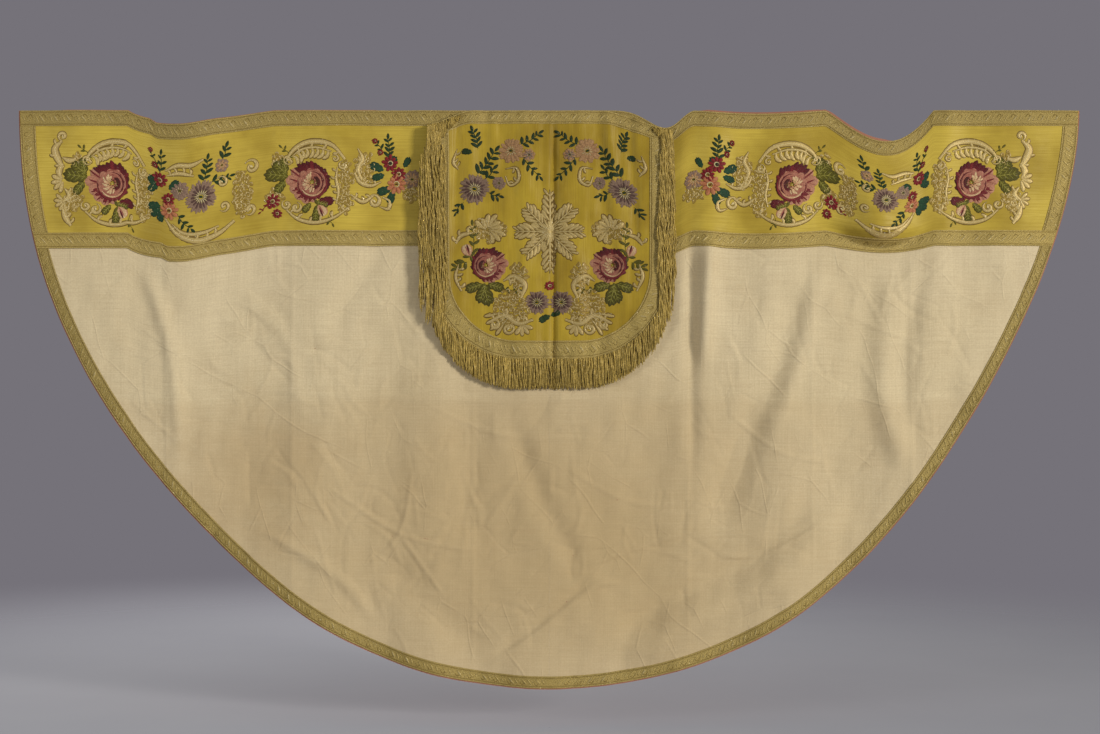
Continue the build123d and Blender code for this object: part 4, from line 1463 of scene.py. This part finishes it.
def ribbed_silk(name, ribs_across, streak_x, streak_z, pale, deep):
    """Golden silk whose ribs and streaks run along the cloth map's other direction."""
    s = Shader(name, Roughness=0.50, Specular_IOR_Level=0.16)
    colour = s.mix(s.between(s.noise(5.0, 4.0), 0.32, 0.70), pale, deep)
    streaks = s.between(s.noise(1.0, 5.0, streak_x, streak_z), 0.34, 0.70)
    colour = s.mix(s.maths("MULTIPLY", streaks, 0.26), colour, paint(136, 106, 28))
    shine = s.between(s.noise(1.0, 3.0, streak_x * 1.7, streak_z * 1.6), 0.60, 0.80, 0.0, 0.30)
    colour = s.mix(shine, colour, paint(206, 182, 80))
    worn = s.between(s.noise(16.0, 5.0, roughness=0.7), 0.58, 0.78, 0.0, 0.34)
    colour = s.mix(worn, colour, paint(150, 124, 50))
    ribs = s.threads(2.4 * MM, ribs_across, 0.5)
    height = s.maths("ADD", s.maths("MULTIPLY", ribs, 0.7), streaks)
    roughness = s.between(streaks, 0.0, 1.0, 0.42, 0.58)
    return s.finish(colour, height, 0.30, 0.5 * MM, roughness)


def worked_thread(name, dark, light, fine_scale, metal, cover=0.5, glints=0.7, rows=None):
    """Thread in the piece's own colours, with painted shade in the gaps between threads, darker worn
    patches and bright glints that are painted highlights.
    """
    s = Shader(name, Metallic=metal, Roughness=0.45, Specular_IOR_Level=0.25)
    fine = s.noise(fine_scale, 3.0)
    # painted shade in the gaps between threads
    colour = s.mix(s.between(fine, 0.36, 0.66, 0.0, cover), s.thread_colour(), dark)
    worn = s.between(s.noise(9.0, 5.0, roughness=0.7), 0.50, 0.74, 0.0, 0.35)
    colour = s.mix(s.maths("MULTIPLY", worn, cover), colour, dark)
    # painted highlights: bright glints of the thread
    glint = s.between(s.noise(fine_scale * 0.62, 2.0), 0.66, 0.74, 0.0, glints)
    colour = s.mix(glint, colour, light)
    height = s.maths("ADD", rows(s), fine) if rows else fine
    roughness = s.between(glint, 0.0, 1.0, 0.50, 0.24)
    return s.finish(colour, height, 0.6, 0.6 * MM, roughness)


def brass_wire():
    """Brass with dark patches of tarnish."""
    s = Shader("aged_brass_wire", Metallic=1.0, Roughness=0.35)
    s.cloth = s.add("ShaderNodeTexCoord").outputs["Object"]
    tarnish = s.between(s.noise(220.0, 4.0), 0.40, 0.70)
    colour = s.mix(tarnish, paint(206, 172, 98), paint(128, 98, 52))
    return s.finish(colour, s.noise(600.0), 0.2, 0.1 * MM, s.between(tarnish, 0, 1, 0.28, 0.55))


def sewing_thread():
    """Waxed yellow thread."""
    s = Shader("waxed_thread", Roughness=0.6)
    s.cloth = s.add("ShaderNodeTexCoord").outputs["Object"]
    colour = s.mix(s.noise(700.0), paint(180, 156, 92), paint(146, 120, 62))
    return s.finish(colour, s.noise(900.0), 0.4, 0.3 * MM)


MATERIALS = {
    "linen": linen(),
    "lining": lining(),
    "canvas": canvas(),
    "band_silk": ribbed_silk("golden_ribbed_silk_band", "Y", 9, 330, paint(206, 180, 74),
                             paint(168, 142, 50)),
    # The hood's copy of the same silk is painted darker: painted shade, as the hood catches less light
    # than the band.
    "hood_silk": ribbed_silk("golden_ribbed_silk_hood", "X", 330, 9, paint(180, 153, 47),
                             paint(148, 121, 33)),
    "galloon": worked_thread("gold_galloon", paint(112, 92, 50), paint(236, 222, 176), 420,
                             metal=0.25, rows=lambda s: s.threads(1.3 * MM, "DIAGONAL", 1.5)),
    "fringe": worked_thread("twisted_gold_fringe", paint(104, 86, 48), paint(220, 202, 150), 520,
                            metal=0.15),
    "flowers": worked_thread("brocaded_silk_flowers", paint(54, 42, 32), paint(236, 220, 184), 300,
                             metal=0.0, cover=0.36, glints=0.3,
                             rows=lambda s: s.threads(1.8 * MM, "Y", 0.8)),
    "scrolls": worked_thread("silver_gilt_thread", paint(136, 106, 54), paint(250, 240, 208), 380,
                             metal=0.25),
    "thread": sewing_thread(),
    "brass": brass_wire(),
}


# ========================================================================= assembly
def finish_cad_nodes():
    """Gives the small fittings that keep their own shape their materials."""
    for node, key in (("hood_stitches", "thread"), ("clasp_hooks", "brass"), ("clasp_eyes", "brass")):
        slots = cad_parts[node].data.materials
        slots.clear()
        slots.append(MATERIALS[key])


def lay_floor():
    """A pale floor disc that fades out before its edge."""
    rings, spokes, radius, drop = 24, 96, 4.2, DROP + 0.10
    work = bmesh.new()
    circles = []
    for i in range(rings + 1):
        r = radius * (i + 0.01) / rings
        circles.append([work.verts.new((r * math.cos(2 * math.pi * k / spokes),
                                        r * math.sin(2 * math.pi * k / spokes), -drop))
                        for k in range(spokes)])
    for inner, outer in zip(circles, circles[1:]):
        for k in range(spokes):
            ahead = (k + 1) % spokes
            work.faces.new((inner[k], outer[k], outer[ahead], inner[ahead]))
    mesh = bpy.data.meshes.new("floor")
    work.to_mesh(mesh)
    work.free()
    s = Shader("pale_floor", Roughness=0.9)
    s.cloth = s.add("ShaderNodeTexCoord").outputs["Object"]
    tone = s.mix(s.noise(3.0, 4.0), paint(176, 175, 180), paint(170, 169, 175))
    s.set(s.principled, {"Alpha": s.between(s.from_origin((1, 1, 0)), 1.3, 4.0, 1.0, 0.0)})
    mesh.materials.append(s.finish(tone))
    floor = bpy.data.objects.new("floor", mesh)
    bpy.context.scene.collection.objects.link(floor)


def add_light(name, place, size, power, tint=(1.0, 1.0, 1.0)):
    """A square lamp that looks at the middle of the cope."""
    light = bpy.data.lights.new(name, "AREA")
    light.size, light.energy, light.color = size, power, tint
    lamp = bpy.data.objects.new(name, light)
    lamp.location = place
    aim = Vector((0, 0, -DROP / 2)) - Vector(place)
    lamp.rotation_euler = aim.to_track_quat("-Z", "Y").to_euler()
    bpy.context.scene.collection.objects.link(lamp)


def light_the_studio():
    """A warm key light far to the right, two weak fills and a grey surround."""
    add_light("key", (8.6, -8.2, 1.4), 2.2, 1060, (1.0, 0.975, 0.93))
    add_light("fill", (-4.0, -4.6, 0.6), 2.4, 86, (1.0, 0.985, 0.96))
    add_light("back_fill", (-2.0, 3.6, 1.2), 2.4, 90)
    world = bpy.data.worlds.new("studio")
    bpy.context.scene.world = world
    world.use_nodes = True
    nodes, links = world.node_tree.nodes, world.node_tree.links
    lighting = nodes["Background"]
    lighting.inputs["Color"].default_value = (0.86, 0.88, 0.92, 1)
    lighting.inputs["Strength"].default_value = 0.22
    seen = nodes.new("ShaderNodeBackground")
    seen.inputs["Color"].default_value = (*paint(117, 114, 121), 1)
    path = nodes.new("ShaderNodeLightPath")
    choose = nodes.new("ShaderNodeMixShader")
    links.new(path.outputs["Is Camera Ray"], choose.inputs[0])
    links.new(lighting.outputs[0], choose.inputs[1])
    links.new(seen.outputs[0], choose.inputs[2])
    links.new(choose.outputs[0], nodes["World Output"].inputs["Surface"])


def set_camera():
    """Square on to the cope, which fills the width of the picture as it hangs."""
    sensor, distance = 36.0, 4.85
    shown_share = 2.684 / 2.58                 # the picture's width over the cope's
    shown_width = shown_share * 2 * HALF_WIDTH
    camera = bpy.data.cameras.new("camera")
    camera.sensor_width = sensor
    camera.lens = sensor * distance / shown_width
    rig = bpy.data.objects.new("camera", camera)
    rig.location = (0.002, -distance, -0.625)
    rig.rotation_euler = (math.radians(90), 0, 0)
    bpy.context.scene.collection.objects.link(rig)
    bpy.context.scene.camera = rig
    bpy.context.scene.view_settings.view_transform = "Standard"


for which in (-1, 1):
    cloak_layers(which, MATERIALS)
    cloak_braids(which, MATERIALS["galloon"])
    band_weaving(which, MATERIALS)
hood_layers(MATERIALS)
hood_braids(MATERIALS["galloon"])
hood_weaving(MATERIALS)
fringe(MATERIALS["fringe"])
clasp_tab(MATERIALS)
finish_cad_nodes()
lay_floor()
light_the_studio()
set_camera()
